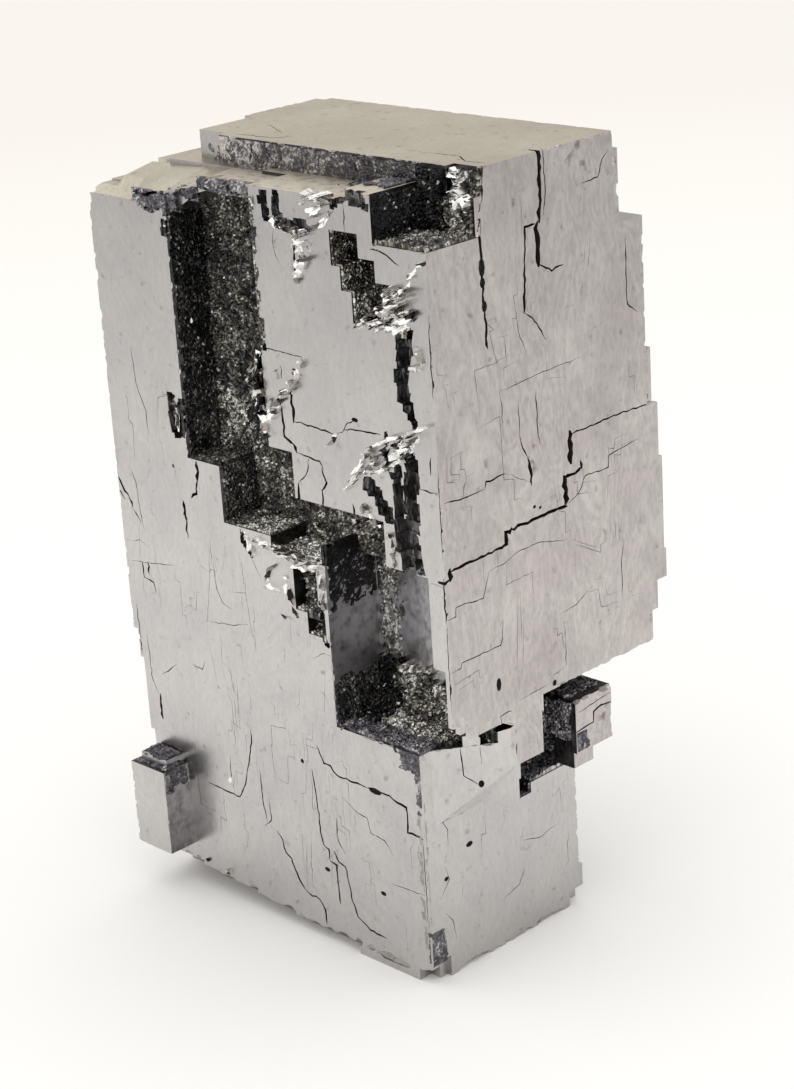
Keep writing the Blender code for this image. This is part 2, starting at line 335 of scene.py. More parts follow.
# Shoulders that rise to the slab, and the brow over the tall hollow. Each station holds its X, the depth, the
# underside and the top of its front, the depth and height of its bend, and its height at the slab's foot
SHOULDER = ((-46.6, 0, 74, 74.1, 1.8, 74.8, 74.9), (-43, 0, 74, 74.1, 1.8, 74.8, 74.9))
BROW = (
    (-43, 0, 74, 74.1, 2, 75.9, 76.6),
    (-40, 0, 73.9, 74.2, 2, 75.9, 76.7),
    (-38.4, 0.15, 73.6, 75, 2, 76, 76.8),
    (-36, 0.15, 73.2, 75.5, 2.2, 76.2, 76.9),
    (-34.6, 0.2, 73.4, 75.6, 2.3, 76.3, 77),
    (-33, 0.6, 74.3, 76, 2.6, 76.6, 77.1),
    (-31, 0.9, 75.6, 76.4, 2.8, 76.9, 77.15),
    (-29, 1.1, 76.2, 76.95, 3, 77.15, 77.2),
    (-22.4, 1.2, 76.2, 77.15, 3, 77.2, 77.2),
)

# Cracks of each face: a width, then the corners of the route
LEFT_CRACKS = (
    (0.34, (-46.6, 44.4), (-45.7, 42.9), (-44.9, 42.2)),
    (0.42, (-45, 42.3), (-44.7, 41.3)),
    (0.2, (-44.8, 41.3), (-43.9, 40.3), (-43.5, 39.7)),
    (0.28, (-46.6, 43), (-45.8, 41.9)),
    (0.12, (-44.6, 46), (-43.7, 44.3), (-43.5, 41), (-43, 39)),
    (0.1, (-45.9, 37.3), (-44, 37.8), (-42.6, 37.2)),
    (0.1, (-45.8, 35.1), (-42, 35.6), (-38.6, 36.2)),
    (0.3, (-44, 35.4), (-43.8, 33.6)),
    (0.32, (-43.1, 35.6), (-43, 34.2)),
    (0.2, (-43.9, 33.7), (-42.4, 33.4), (-42.2, 32.2)),
    (0.14, (-42.9, 34.3), (-42.4, 33.4)),
    (0.13, (-42.3, 59), (-42, 55), (-40.9, 52.4), (-40.8, 49.8)),
    (0.18, (-45.7, 30.2), (-45.6, 24.6)),
    (0.13, (-44.5, 27), (-44.3, 22), (-43.3, 20)),
    (0.42, (-43.3, 20.6), (-43.2, 17.6)),
    (0.14, (-42.6, 23), (-41.5, 23.6), (-40, 24.8)),
    (0.14, (-37.5, 25.5), (-35.8, 25.2), (-35.3, 26.3)),
    (0.2, (-29, 20.5), (-29.1, 18.7), (-30.3, 14.8), (-30.6, 13.6), (-31.7, 11.8), (-36.6, 12.1)),
    (0.14, (-32.7, 16.2), (-32.9, 13)),
    (0.2, (-28.2, 16), (-28.1, 12.2), (-27.7, 10.2)),
    (0.16, (-27.2, 13), (-27, 10.6), (-28.2, 9.6)),
    (0.28, (-26.3, 9.6), (-25.5, 8.6), (-25.2, 7.4), (-24.4, 7), (-24, 5.8), (-22.6, 3.9)),
    (0.26, (-22.6, 3.9), (-20.6, 3.5), (-19.8, 2.6), (-19.8, 0.9)),
    (0.24, (-19.2, 21.3), (-18.3, 19.6), (-17.4, 19.5), (-16.6, 18.7), (-12.2, 18.7)),
    (0.3, (-12.2, 18.7), (-9.2, 18.7), (-8.2, 18.2), (-7, 18.1), (-6.9, 15.5), (-4.9, 15.4)),
    (0.14, (-20.8, 20.9), (-19, 20.9)),
    (0.24, (-20.2, 18.4), (-19.8, 15.6), (-19.6, 11.6), (-19.4, 10.2), (-18.6, 9.9), (-18.5, 8.6)),
    (0.28, (-18.5, 8.6), (-17.6, 8.4), (-17.5, 4)),
    (0.25, (-17.9, 10), (-17.2, 8.9), (-16.3, 8.7), (-15.6, 5), (-15, 3.4), (-13.3, 2.5), (-11, 2.3)),
    (0.15, (-17.1, 14), (-17.1, 11.4), (-16.2, 10.1)),
    (0.13, (-16, 16.5), (-14, 15.4), (-12.6, 15.3), (-12.2, 13.7), (-10.3, 13.5), (-9.2, 12.2)),
    (0.12, (-9.8, 8.9), (-5.2, 9.1)),
    (0.12, (-5, 15.4), (-4.95, 10), (-5, 5)),
    (0.5, (-33.7, 48.4), (-33.8, 46.2)),
    (0.32, (-33.8, 46.4), (-34.2, 44.9), (-35, 44.2)),
    (0.46, (-36.2, 43.7), (-36.2, 41.7)),
    (0.28, (-36.2, 42.4), (-36.1, 39.6)),
    (0.12, (-32.5, 38), (-32.4, 35), (-31.6, 33.6), (-30.4, 33.3)),
    (0.1, (-34.5, 31), (-30, 31.6), (-28, 32.2)),
    (0.12, (-18.5, 31), (-17, 31.8), (-16.2, 31.7)),
    (0.4, (-27.9, 42.4), (-27.8, 41.1), (-26.7, 40.7), (-26.7, 39.7)),
    (0.13, (-26.7, 39.7), (-25.9, 38.5), (-25.4, 37.6)),
    (0.13, (-23.6, 61.6), (-22.1, 61.9), (-17, 61.8), (-16.9, 61.1)),
    (0.22, (-20, 60.5), (-20, 59.2)),
    (0.46, (-18.8, 58.4), (-18.8, 55)),
    (0.2, (-18.8, 55.2), (-16, 55.1), (-13.1, 54.9)),
    (0.34, (-20.3, 56.5), (-20.3, 53.4), (-19, 52.9)),
    (0.46, (-19.1, 52.9), (-18.6, 52.1)),
    (0.22, (-18.6, 52.1), (-15.6, 51.8), (-15.1, 51)),
    (0.34, (-15.3, 51.2), (-14.9, 49.8), (-15.6, 48.8)),
    (0.26, (-15.6, 49), (-15.6, 45.2)),
    (0.18, (-17, 51.8), (-17.5, 50.1), (-18.9, 48.9)),
    (0.4, (-18.9, 49), (-18.9, 46.6)),
    (0.32, (-11.4, 48.4), (-11.4, 45)),
    (0.14, (-13.1, 54.9), (-12.2, 55.3), (-11.4, 56.3), (-10.3, 56.9), (-9.8, 56.2)),
    (0.2, (-12, 55.6), (-9.4, 55.9), (-7.1, 56)),
    (0.15, (-12, 49.7), (-11, 50.5), (-10, 51.5)),
    (0.32, (-16.9, 73.2), (-16.9, 69.2)),
    (0.16, (-10, 77.2), (-10, 74.4)),
    (0.09, (-19.3, 74.4), (-19.8, 72.5), (-19.5, 71.1), (-18.9, 70.4), (-18.8, 69.7)),
    (0.24, (-6.9, 73.4), (-5.4, 73.2), (-4.4, 72.8), (-3.4, 72.3)),
    (0.2, (-2.6, 51.6), (-0.2, 51.6)),
    (0.26, (-0.9, 54.9), (-0.9, 53.2)),
    (0.12, (-1.9, 42.6), (-0.1, 42.5)),
    (0.16, (-0.1, 68.2), (-0.15, 64.4), (-0.1, 60.5)),
    (0.12, (-0.1, 54.4), (-0.1, 45)),
    (0.24, (-0.1, 43.4), (-0.15, 39)),
    (0.12, (-0.1, 39.2), (-0.1, 30)),
)
RIGHT_CRACKS = (
    (0.55, (15.2, 80.4), (15.2, 76), (14.9, 73.4)),
    (0.7, (14.9, 73.6), (14.5, 73), (14.6, 70), (14.7, 69.4)),
    (0.24, (14.6, 69.6), (15.6, 69.2), (16.4, 68.7), (18, 68.9)),
    (0.16, (15.8, 80.3), (15.9, 76), (15.5, 74)),
    (0.3, (14.4, 73.5), (12.9, 73.5), (12.7, 70)),
    (0.36, (12.7, 70.2), (12.4, 65.5)),
    (0.18, (12.4, 65.6), (13.5, 64.8), (14.3, 63.8), (15.2, 62.3)),
    (0.36, (5.8, 74), (6.9, 74), (7, 70.5), (7.1, 66.5)),
    (0.36, (7.1, 66.8), (7.2, 63.4)),
    (0.13, (9.5, 64), (9.7, 61.5)),
    (0.11, (11.3, 66), (11.5, 64), (12.5, 61.5)),
    (0.09, (8.5, 59), (14, 59.4), (20, 59.5)),
    (0.13, (8.7, 59), (8.8, 55)),
    (0.12, (11, 57.7), (11, 53.8)),
    (0.2, (11, 54), (11.3, 52.8), (12.2, 51.6)),
    (0.42, (12.1, 51.8), (12.4, 48.9)),
    (0.2, (13.5, 57.7), (13.5, 54), (13.8, 52.5)),
    (0.2, (31.8, 52.3), (24.5, 52.5), (18, 52.4)),
    (0.8, (18, 52.8), (18, 49.4)),
    (0.6, (19.5, 49.4), (19.5, 48.5)),
    (0.4, (19.6, 48.6), (16.9, 48.3)),
    (0.8, (17.1, 48.6), (17.1, 45.5)),
    (0.36, (17.3, 45.5), (13, 45.5), (9.2, 45.4)),
    (0.64, (9.4, 45.5), (8.6, 45.3), (8.5, 44)),
    (0.34, (8.8, 44.2), (5, 44), (0.8, 43.9)),
    (0.6, (0.8, 44.2), (0.7, 42.9)),
    (0.36, (0.9, 43.1), (-0.5, 42.9)),
    (0.16, (0.5, 50.6), (3, 50.3), (6, 50.4)),
    (0.24, (6, 50.4), (6.2, 51), (8.8, 51.1)),
    (0.14, (2.9, 50.4), (3.6, 52.4)),
    (0.1, (8.8, 51.1), (10.5, 50.2), (12.3, 49.2)),
    (0.14, (17, 45.5), (19, 46.2), (20, 47.7), (23.5, 47.5), (23.5, 48.8), (28, 49.2)),
    (0.14, (0, 39.3), (1.2, 39.3), (1.3, 40.2), (5, 39.9), (5.6, 41.5), (6, 42.3)),
    (0.1, (6, 42.3), (8, 42.4), (10, 43), (13, 43), (17, 42)),
    (0.13, (0.2, 34), (1.5, 34), (1.7, 34.5), (7, 34.5), (7.3, 35), (7.5, 37)),
    (0.1, (15.5, 34.8), (18, 35), (20.4, 36.2)),
    (0.12, (25.5, 39.6), (25, 37.5), (25, 33)),
    (0.12, (16.2, 34), (16.2, 31.2)),
    (0.18, (16.2, 31.6), (16.2, 29.2)),
    (0.1, (16.2, 29.2), (14.3, 28.8), (14, 27.8)),
    (0.08, (10.1, 39), (10, 33)),
    (0.18, (27, 69.5), (27, 63), (28.5, 62)),
    (0.16, (20.9, 75.9), (23.3, 76.1), (24, 77.6), (25, 78.4)),
    (0.13, (6.4, 27.8), (6.7, 26.5), (8.3, 25.9)),
    (0.22, (6.5, 27.3), (8.1, 27.3)),
    (0.24, (8.6, 23.7), (8.5, 22.6)),
    (0.09, (9.2, 28), (14, 28.2)),
)
FOOT_CRACKS = (
    (0.13, (6.6, 16.8), (4.7, 16.8), (2.6, 16.3), (3.2, 15), (3.1, 13.4)),
    (0.12, (2.6, 11.2), (3, 9.8), (2.3, 9), (1.5, 8.1)),
    (0.12, (2.2, 6.4), (3.2, 5.2), (3.6, 3)),
    (0.1, (13.5, 9.8), (16.4, 8.9), (19.2, 9.4)),
    (0.1, (10.2, 4.2), (13, 5), (14.2, 6.9)),
)
LUMP_CRACKS = (
    (0.24, (18.2, 21), (20.9, 21.2), (21, 22.3), (22.2, 22.6), (23.9, 22.4)),
    (0.14, (18.7, 23), (20.6, 23.2), (23.9, 23.5)),
    (0.1, (21.3, 19), (22.6, 19.4)),
)
RIM_CRACKS = (
    (0.16, (1.3, 24.2), (1.35, 23), (1.5, 21.2), (2.2, 20.6), (3, 20)),
    (0.12, (3.26, 24.7), (3.26, 23.5), (3.31, 22.2)),
    (0.1, (-0.75, 16.7), (0.8, 17.6), (2.1, 18.3), (3.8, 19.3)),
)
TOP_CRACKS = (
    (0.2, (-32.2, 7.5), (-27, 7.9), (-26, 9.4)),
    (0.1, (-33, 12.5), (-27.9, 9.8)),
    (0.16, (-9, 9.9), (-4.9, 10.1), (-2.9, 8.6), (-0.4, 9)),
    (0.12, (-19.2, 16.2), (-18.3, 16.6)),
    (0.12, (-11.6, 14.2), (-10.9, 14.6)),
)

BACK_CRACKS = (
    (0.5, (6, 71), (6.2, 66), (7.4, 64.5), (7.4, 60)),
    (0.24, (7.4, 62), (9, 61.6), (10.4, 60.2)),
    (0.3, (43.5, 66.3), (43.2, 64.8), (42, 63.6), (42, 58.5)),
    (0.16, (14, 71), (14, 68), (19, 67.6), (19.5, 66.2)),
)
BELLY_CRACKS = ((0.4, (0.2, 43), (3, 42.7), (3.2, 41), (7, 40.6), (7.4, 38.2), (10.8, 38)),)
FOOT_BACK_CRACKS = (
    (0.4, (40, 27.3), (39.8, 22), (36.5, 21.5), (36.2, 15)),
    (0.26, (36.2, 16.2), (31, 15.6), (30.6, 11)),
    (0.3, (27.5, 20), (24, 19.6), (23.6, 13.6)),
    (0.2, (10, 26), (10.2, 20), (14.5, 19.6)),
)
END_CRACKS = (
    (0.5, (-4.6, 74.4), (-4.6, 66), (-5.4, 64.8), (-5.4, 58)),
    (0.3, (-0.2, 47.6), (-3, 47.9), (-3.2, 50), (-8.4, 50.6)),
    (0.16, (-6.8, 44), (-6.6, 36), (-3, 35.4)),
)
END_FLOOR_CRACKS = (
    (0.42, (-29.5, 48), (-24.5, 48.4), (-24.2, 45), (-19, 44.6), (-18.8, 41.5)),
    (0.18, (-21, 57), (-21.2, 51), (-19.4, 49.4)),
)
FOOT_END_CRACKS = (
    (0.3, (-15, 15.9), (-15.2, 10), (-9, 9.4), (-8.8, 4)),
    (0.18, (-19, 12), (-18.6, 5)),
)

# Growth lines: a face, its two ranges, how far a run goes across, copies, count and seed
GROWTH = (
    (LEFT_FACE, (-45, -17), (2, 40), 0.3, 1, 60, 1),
    (LEFT_FACE, (-33, -27.5), (9, 27), 0.3, 2, 16, 601),
    (LEFT_FACE, (-22.5, -14), (2, 24), 0.35, 2, 18, 701),
    (LEFT_FACE, (-45, -36), (40, 73), 0.3, 1, 10, 101),
    (LEFT_FACE, (-16, -5.5), (1, 22), 0.4, 1, 18, 201),
    (RIGHT_FACE, (0.5, 28.5), (28.5, 66), 0.9, 2, 34, 301),
    (RIGHT_FACE, (8.6, 25), (62, 78.5), 0.4, 2, 12, 401),
    (FOOT_FACE, (1, 21), (1.5, 15), 0.5, 1, 10, 501),
    (BACK_FACE, (0.5, 46), (58.5, 70.5), 0.5, 2, 14, 801),
    (FOOT_BACK, (5, 45), (13, 27), 0.5, 2, 20, 901),
    (END_FACE, (-8, -0.5), (28, 73), 0.4, 1, 12, 1001),
    (END_FLOOR, (-29, -14), (39.5, 56.5), 0.6, 2, 12, 1101),
    (FOOT_END, (-21.5, -1), (2, 15), 0.5, 2, 10, 1201),
)

# Burrows of the left face: a depth, then (u, v, radius) along each
BURROWS = (
    (1.4, (-3.2, 66, 1.05), (-3.5, 64, 1.05), (-3.9, 61.8, 0.8), (-3.7, 60.3, 0.8), (-3.1, 58.9, 0.7)),
    (1.2, (-3.1, 58.8, 0.5), (-2.5, 57.3, 0.4)),
    (1.1, (-9.3, 51.1, 0.8), (-8.2, 50, 0.7), (-7.5, 49, 0.75), (-6.6, 47.9, 0.8)),
    (1.5, (-5.3, 52.6, 0.6), (-5.3, 49, 0.65), (-5.2, 47.4, 0.75), (-4.9, 44.5, 0.85), (-4.9, 43.4, 0.85)),
    (1.5, (-3.5, 54, 0.75), (-3.4, 52.6, 0.9), (-3.7, 51.2, 0.8), (-3.9, 49.8, 0.7), (-3.5, 48.4, 1.05)),
    (1.5, (-3.9, 47.2, 0.85), (-3.9, 46.4, 0.85), (-3.4, 44.4, 1.05), (-4.2, 43.5, 0.9)),
    (1.1, (-20.7, 76.8, 0.55), (-20.7, 76, 0.55), (-20.5, 74.8, 0.55)),
    (1.1, (-18.9, 77, 0.45), (-18.9, 75.6, 0.5)),
    (0.8, (-19, 75.3, 0.5), (-17.7, 74.4, 0.55), (-16.7, 74.2, 0.65), (-15.7, 74.6, 0.55), (-15, 74.1, 0.4)),
    (0.9, (-11.4, 76.9, 0.4), (-10.6, 77.6, 0.5), (-9.4, 77.9, 0.6), (-8, 77.8, 0.6), (-7.2, 77, 0.5)),
    (0.9, (-23.2, 60, 0.3), (-23.2, 58.3, 0.34)),
    (0.8, (-22.3, 64.4, 0.4), (-22.2, 62.2, 0.45)),
    (0.8, (-35.4, 72.6, 0.45), (-35.3, 71.5, 0.45)),
    (1.3, (-36.6, 54.7, 0.5), (-36.8, 53.4, 0.55), (-36.7, 51.8, 0.6), (-36.1, 50.7, 0.5)),
    (1.3, (-35.4, 54.3, 0.4), (-35.5, 52.4, 0.45), (-35.5, 51, 0.4)),
    (0.5, (-6.4, 56.1, 0.26), (-6.4, 55.3, 0.28)),
    (0.6, (-27.7, 42, 0.4), (-27.2, 40.8, 0.38), (-26.6, 40, 0.3)),
    (0.7, (-16.8, 33.2, 0.4), (-16.3, 32.7, 0.36)),
)
PITS = (
    (LEFT_FACE, -11.2, 18.6, 0.9, 0.35, 0.5),
    (LEFT_FACE, -21.5, 18.9, 0.25, 0.25, 0.3),
    (LEFT_FACE, -19, 7.5, 0.4, 0.25, 0.4),
    (LEFT_FACE, -11, 7.4, 0.4, 0.25, 0.4),
    (LEFT_FACE, -10.4, 56.8, 0.45, 0.22, 0.4),
    (LEFT_FACE, -37.4, 47.2, 0.14, 0.22, 0.2),
    (RIGHT_FACE, 6.5, 30.6, 0.35, 0.7, 0.5),
    (RIGHT_FACE, 7, 71, 0.42, 0.9, 0.6),
    (RIGHT_FACE, 7, 69.6, 0.36, 0.5, 0.5),
    (RIGHT_FACE, 7.1, 67.4, 0.36, 0.55, 0.5),
    (RIGHT_FACE, 12.6, 46.7, 0.22, 0.18, 0.2),
    (RIGHT_FACE, 13.4, 46.4, 0.2, 0.15, 0.2),
    (RIGHT_FACE, 14.4, 28, 0.3, 0.34, 0.4),
    (FOOT_FACE, 8.2, 18.2, 0.4, 0.5, 0.5),
    (RIM_FACE, 3.15, 20.1, 0.3, 0.4, 0.5),
    (FOOT_FACE, 6.1, 12.4, 0.5, 0.3, 0.5),
    (FOOT_FACE, 2.6, 10, 0.3, 0.25, 0.4),
)

# Chipped edges: the two ends, the number of chips and how deep the deepest is
CHIPPED = (
    ((-46.6, 0, 28), (-46.6, 0, 74.2), 34, 0.26),
    ((-45.9, 0, 16), (-45.6, 0, 27), 10, 0.3),
    ((-46.6, 0, 74.2), (-35.2, 0, 74.2), 10, 0.24),
    ((0, 0, 28.4), (0, 0, 73.8), 40, 0.16),
    ((0, 8.5, 80), (0, 25.5, 80), 14, 0.16),
    ((-33, 6.4, 80), (-3.4, 6.4, 80), 26, 0.22),
    ((0, 26.2, 71.2), (0, 25.5, 80), 12, 0.34),
    ((0, 29.6, 53), (0, 29.6, 71), 12, 0.3),
    ((0, 14, 27.4), (0, 29.6, 27.4), 22, 0.34),
    ((-4.7, 22.2, 3.4), (-4.7, 22.2, 16), 12, 0.26),
    ((-4.7, 3, -0.8), (-4.7, 22, -0.8), 16, 0.8),
    ((-4.7, 5.4, -0.7), (-4.7, 8, -0.7), 4, 1.2),
    ((-4.7, 0, 1), (-4.7, 0, 23), 16, 0.2),
    ((-46.6, 0, 73.5), (-46.6, 0.3, 74.2), 5, 0.7),
    ((-16, 0, 24.2), (-5.5, 0, 24.2), 16, 0.24),
    ((-16, 0, 24.4), (-16, 0, 33.2), 10, 0.2),
    ((-35, 0, 48.6), (-35, 0, 74), 18, 0.2),
    ((-22.6, 0, 52), (-22.6, 0, 77.2), 14, 0.2),
    ((-19, 0, 0.5), (-4.8, 0, 0.2), 10, 0.6),
    ((-46, 0, 2.3), (-39, 0, 2.3), 6, 0.6),
    ((-38.6, 0, 1.4), (-30.4, 0, 1.3), 8, 0.6),
    ((-30.2, 0, 0.9), (-19, 0, 0.5), 9, 0.5),
    ((-0.1, 6.8, 73.9), (-0.1, 7.6, 79.6), 8, 0.45),
    ((-45.2, -3.3, 4), (-45.2, -3.3, 13.4), 10, 0.22),
    ((-39.9, -3.3, 4), (-39.9, -3.3, 13.4), 8, 0.18),
    ((-45.2, -3.3, 3.9), (-39.9, -3.3, 3.9), 6, 0.24),
    ((-44.4, -2.4, 14.4), (-40.4, -2.4, 14.4), 8, 0.4),
    ((-4.7, 1.5, 24.2), (-1, 6.4, 24.2), 8, 0.3),
    ((-0.9, 18.3, 24.3), (-0.9, 23.8, 24.3), 6, 0.4),
    ((-0.9, 23.8, 19), (-0.9, 23.8, 24), 5, 0.34),
    ((-37.4, 7.4, 80), (-38.7, 14.6, 80), 6, 0.3),
    ((-6.6, 0, 73.8), (0, 0, 73.8), 8, 0.2),
    ((-46.6, 29.6, 30), (-46.6, 29.6, 66), 22, 0.34),
    ((-34, 25.5, 80), (-1, 25.5, 80), 20, 0.3),
    ((-38.7, 15, 80), (-38.7, 24.4, 80), 8, 0.3),
    ((-46.6, 1, 74.2), (-46.6, 26, 74.2), 16, 0.3),
    ((-38, 29.6, 65), (-11, 29.6, 65), 16, 0.3),
    ((-11, 31.7, 36.5), (-11, 31.7, 46.5), 8, 0.3),
    ((-38, 31.2, 37), (-38, 31.2, 52.4), 10, 0.3),
    ((-46.6, 8.5, 30), (-46.6, 8.5, 68), 16, 0.3),
    ((-45.4, 22.2, 0), (-45.4, 22.2, 24), 14, 0.35),
    ((-44.1, 31.2, 34), (-44.1, 31.2, 52), 10, 0.3),
)


def collected(name, pieces):
    """The pieces moved from the scene's own collection to a new one, to be joined or cut in one go."""
    collection = bpy.data.collections.new(name)
    bpy.context.scene.collection.children.link(collection)
    for piece in pieces:
        bpy.context.scene.collection.objects.unlink(piece)
        collection.objects.link(piece)
    return collection


fillings = [box(low, high) for low, high in FILLINGS]
fillings += [prism(*tab) for tab in TABS] + [ledge(SHOULDER), ledge(BROW)]
foot_corner, neck = [prism(*FOOT_CORNER)], [prism(*NECK)]
crack_spaces, burrow_spaces, chip_spaces = [], [], []
for face, cracks in (
    (LEFT_FACE, LEFT_CRACKS),
    (RIGHT_FACE, RIGHT_CRACKS),
    (FOOT_FACE, FOOT_CRACKS),
    (LUMP_FACE, LUMP_CRACKS),
    (TOP_FACE, TOP_CRACKS),
    (RIM_FACE, RIM_CRACKS),
    (BACK_FACE, BACK_CRACKS),
    (BELLY_FACE, BELLY_CRACKS),
    (FOOT_BACK, FOOT_BACK_CRACKS),
    (END_FACE, END_CRACKS),
    (END_FLOOR, END_FLOOR_CRACKS),
    (FOOT_END, FOOT_END_CRACKS),
):
    for order, (width, *route) in enumerate(cracks):
        crack_spaces.append(crack(face, width, route, seed=100 * len(cracks) + order))
growth_spaces = [line for place in GROWTH for line in growth_lines(*place)]
for order, (depth, *route) in enumerate(BURROWS):
    burrow_spaces += burrow(LEFT_FACE, depth, route, seed=order)
crack_spaces += [pit(*place) for place in PITS]
for order, (start, end, count, size) in enumerate(CHIPPED):
    chip_spaces += chips(start, end, count, size, seed=order)

# --- Crystal block: its metal -----------------------------------------------------------------------
# Clean bismuth straight from the melt: a soft grey mirror, a little warm. Its faces carry faint clouds and
# grain, its top carries faint stains and is painted warmer and darker as a painted reflection of the warm
# backdrop behind, and the walls that the melt left late are rough and dark.


def linear(code):
    """A colour from an sRGB hex code, turned linear."""
    channels = np.array([int(code[place : place + 2], 16) for place in (1, 3, 5)]) / 255
    return (*np.where(channels <= 0.04045, channels / 12.92, ((channels + 0.055) / 1.055) ** 2.4), 1.0)


def add(tree, kind, settings, links=()):
    """Adds a shader node: settings are its properties or unlinked sockets, links give a socket an output."""
    node = tree.nodes.new("ShaderNode" + kind)
    for key, value in settings.items():
        if isinstance(key, int) or key in node.inputs:
            node.inputs[key].default_value = value
        else:
            setattr(node, key, value)
    for socket, output in dict(links).items():
        tree.links.new(node.inputs[socket], output)
    return node


def new_material(name, **values):
    """A material with a Principled shader whose uniform values are set on its own sockets."""
    material = bpy.data.materials.new(name)
    material.use_nodes = True
    shader = material.node_tree.nodes["Principled BSDF"]
    for key, value in values.items():
        shader.inputs[key.replace("_", " ")].default_value = value
    return material, material.node_tree, shader


CLOUD_SIZE, STAIN_SIZE, GRAIN_SIZE, RING_SIZE = 7.0, 1.1, 0.35, 9.0
RING_TURNS = 90.0
# Painted shade: heights in crystal millimetres over which the metal is painted darker towards the top, and
# the painted darkening of its foot, standing in for the dimmer surroundings and the shadowed floor its faces
# reflect
HEAD_FROM, HEAD_TO = 39, 81
PAINTED_FOOT_SHADE, FOOT_TO = 0.84, 9


def metal(
    name,
    dark,
    light,
    stain,
    roughness,
    stain_from=0.62,
    relief=0.012,
    painted_head_shade=1.0,
    grain=0.92,
    rings=0.96,
    smudges=(),
):
    """Grown bismuth metal: clouds some millimetres wide, stains of about one, and upright grain of a third.

    Its colour is painted darker towards the crystal's top, down to painted_head_shade, and a little towards
    its foot: painted shade for the dimmer surroundings and the shadowed floor that its faces reflect. Its
    shade also falls to grain between its grains, and to rings along faint growth rings: the sine of a broad
    noise many times over. A smudge is a place, in crystal millimetres, and a radius in which the stains lie
    closer.
    """
    material, tree, shader = new_material(name, Metallic=1.0, Roughness=roughness)
    place = add(tree, "TexCoord", {}).outputs["Object"]
    up = add(tree, "SeparateXYZ", {}, {"Vector": place}).outputs["Z"]
    squeezed = {"operation": "MULTIPLY", 1: (1.0, 1.0, 0.45)}
    squeezed = add(tree, "VectorMath", squeezed, {0: place}).outputs[0]
    cloud, blot, fine = (
        add(tree, "TexNoise", {"Scale": 1 / (size * MM), "Detail": detail}, {"Vector": where}).outputs[0]
        for size, detail, where in (
            (CLOUD_SIZE, 5.0, place),
            (STAIN_SIZE, 6.0, place),
            (GRAIN_SIZE, 3.0, squeezed),
        )
    )
    for centre, radius in smudges:
        centre = tuple(CORNER + np.array(centre) * MM)
        away = {"operation": "DISTANCE", 1: centre}
        away = add(tree, "VectorMath", away, {0: place}).outputs["Value"]
        near = {"From Max": radius * MM, "To Min": 0.13, "To Max": 0.0}
        near = add(tree, "MapRange", near, {"Value": away}).outputs[0]
        blot = add(tree, "Math", {"operation": "ADD"}, {0: blot, 1: near}).outputs[0]
    cloud = add(tree, "MapRange", {"From Min": 0.35, "From Max": 0.65}, {"Value": cloud}).outputs[0]
    body = add(tree, "Mix", {"data_type": "RGBA", 6: linear(dark), 7: linear(light)}, {0: cloud})
    soil = {"From Min": stain_from, "From Max": 0.82}
    blot = add(tree, "MapRange", soil, {"Value": blot}).outputs[0]
    soiled = {"data_type": "RGBA", "blend_type": "MULTIPLY", 7: linear(stain)}
    soiled = add(tree, "Mix", soiled, {0: blot, 6: body.outputs[2]}).outputs[2]
    shade = {"From Min": 0.3, "From Max": 0.6, "To Min": grain}
    shade = add(tree, "MapRange", shade, {"Value": fine}).outputs[0]
    # Painted shade: darker towards the crystal's top
    painted_top_fall = {"From Min": HEAD_FROM * MM, "From Max": HEAD_TO * MM, "To Min": 1.0, "To Max": painted_head_shade}
    painted_top_fall = add(tree, "MapRange", painted_top_fall, {"Value": up}).outputs[0]
    # Painted shade: darker towards the crystal's foot
    rise = {"From Max": FOOT_TO * MM, "To Min": PAINTED_FOOT_SHADE}
    rise = add(tree, "MapRange", rise, {"Value": up}).outputs[0]
    ring = {"Scale": 1 / (RING_SIZE * MM), "Detail": 3.0, "Distortion": 0.8}
    ring = add(tree, "TexNoise", ring, {"Vector": squeezed}).outputs[0]
    ring = add(tree, "Math", {"operation": "MULTIPLY", 1: RING_TURNS}, {0: ring}).outputs[0]
    ring = add(tree, "Math", {"operation": "SINE"}, {0: ring}).outputs[0]
    ring = add(tree, "MapRange", {"From Min": -1.0, "To Min": rings}, {"Value": ring}).outputs[0]
    for factor in (painted_top_fall, rise, ring):
        shade = add(tree, "Math", {"operation": "MULTIPLY"}, {0: shade, 1: factor}).outputs[0]
    colour = add(tree, "VectorMath", {"operation": "SCALE"}, {0: soiled, "Scale": shade}).outputs[0]
    tree.links.new(shader.inputs["Base Color"], colour)
    bump = add(tree, "Bump", {"Distance": relief * MM}, {"Height": fine}).outputs["Normal"]
    tree.links.new(shader.inputs["Normal"], bump)
    return material


# Common name: bismuth. Each is the same cast metal; how it froze sets how smooth and how grey it looks,
# except that the right side's dimmer grey, the top's warm tint and the slope's lighter grey are painted light
bright = metal("bright_bismuth", "#c3c0c0", "#cbc9c8", "#b5b0ad", 0.28, painted_head_shade=0.71)
# The right side: its darker, pinker grey is painted shade for the dimmer surroundings that side reflects; its
# smudges, grain and rings are its own
flank_painted_dim = metal(
    "flank_bismuth_painted_dim",
    "#bbb5b4",
    "#c8c3c1",
    "#b0a7a2",
    0.32,
    stain_from=0.64,
    relief=0.02,
    painted_head_shade=0.8,
    grain=0.84,
    rings=0.9,
    smudges=(((0, 11, 76.3), 2.0), ((0, 20, 78.5), 4.0), ((0, 12.5, 51), 2.0), ((-0.9, 22.7, 21.5), 3.0)),
)
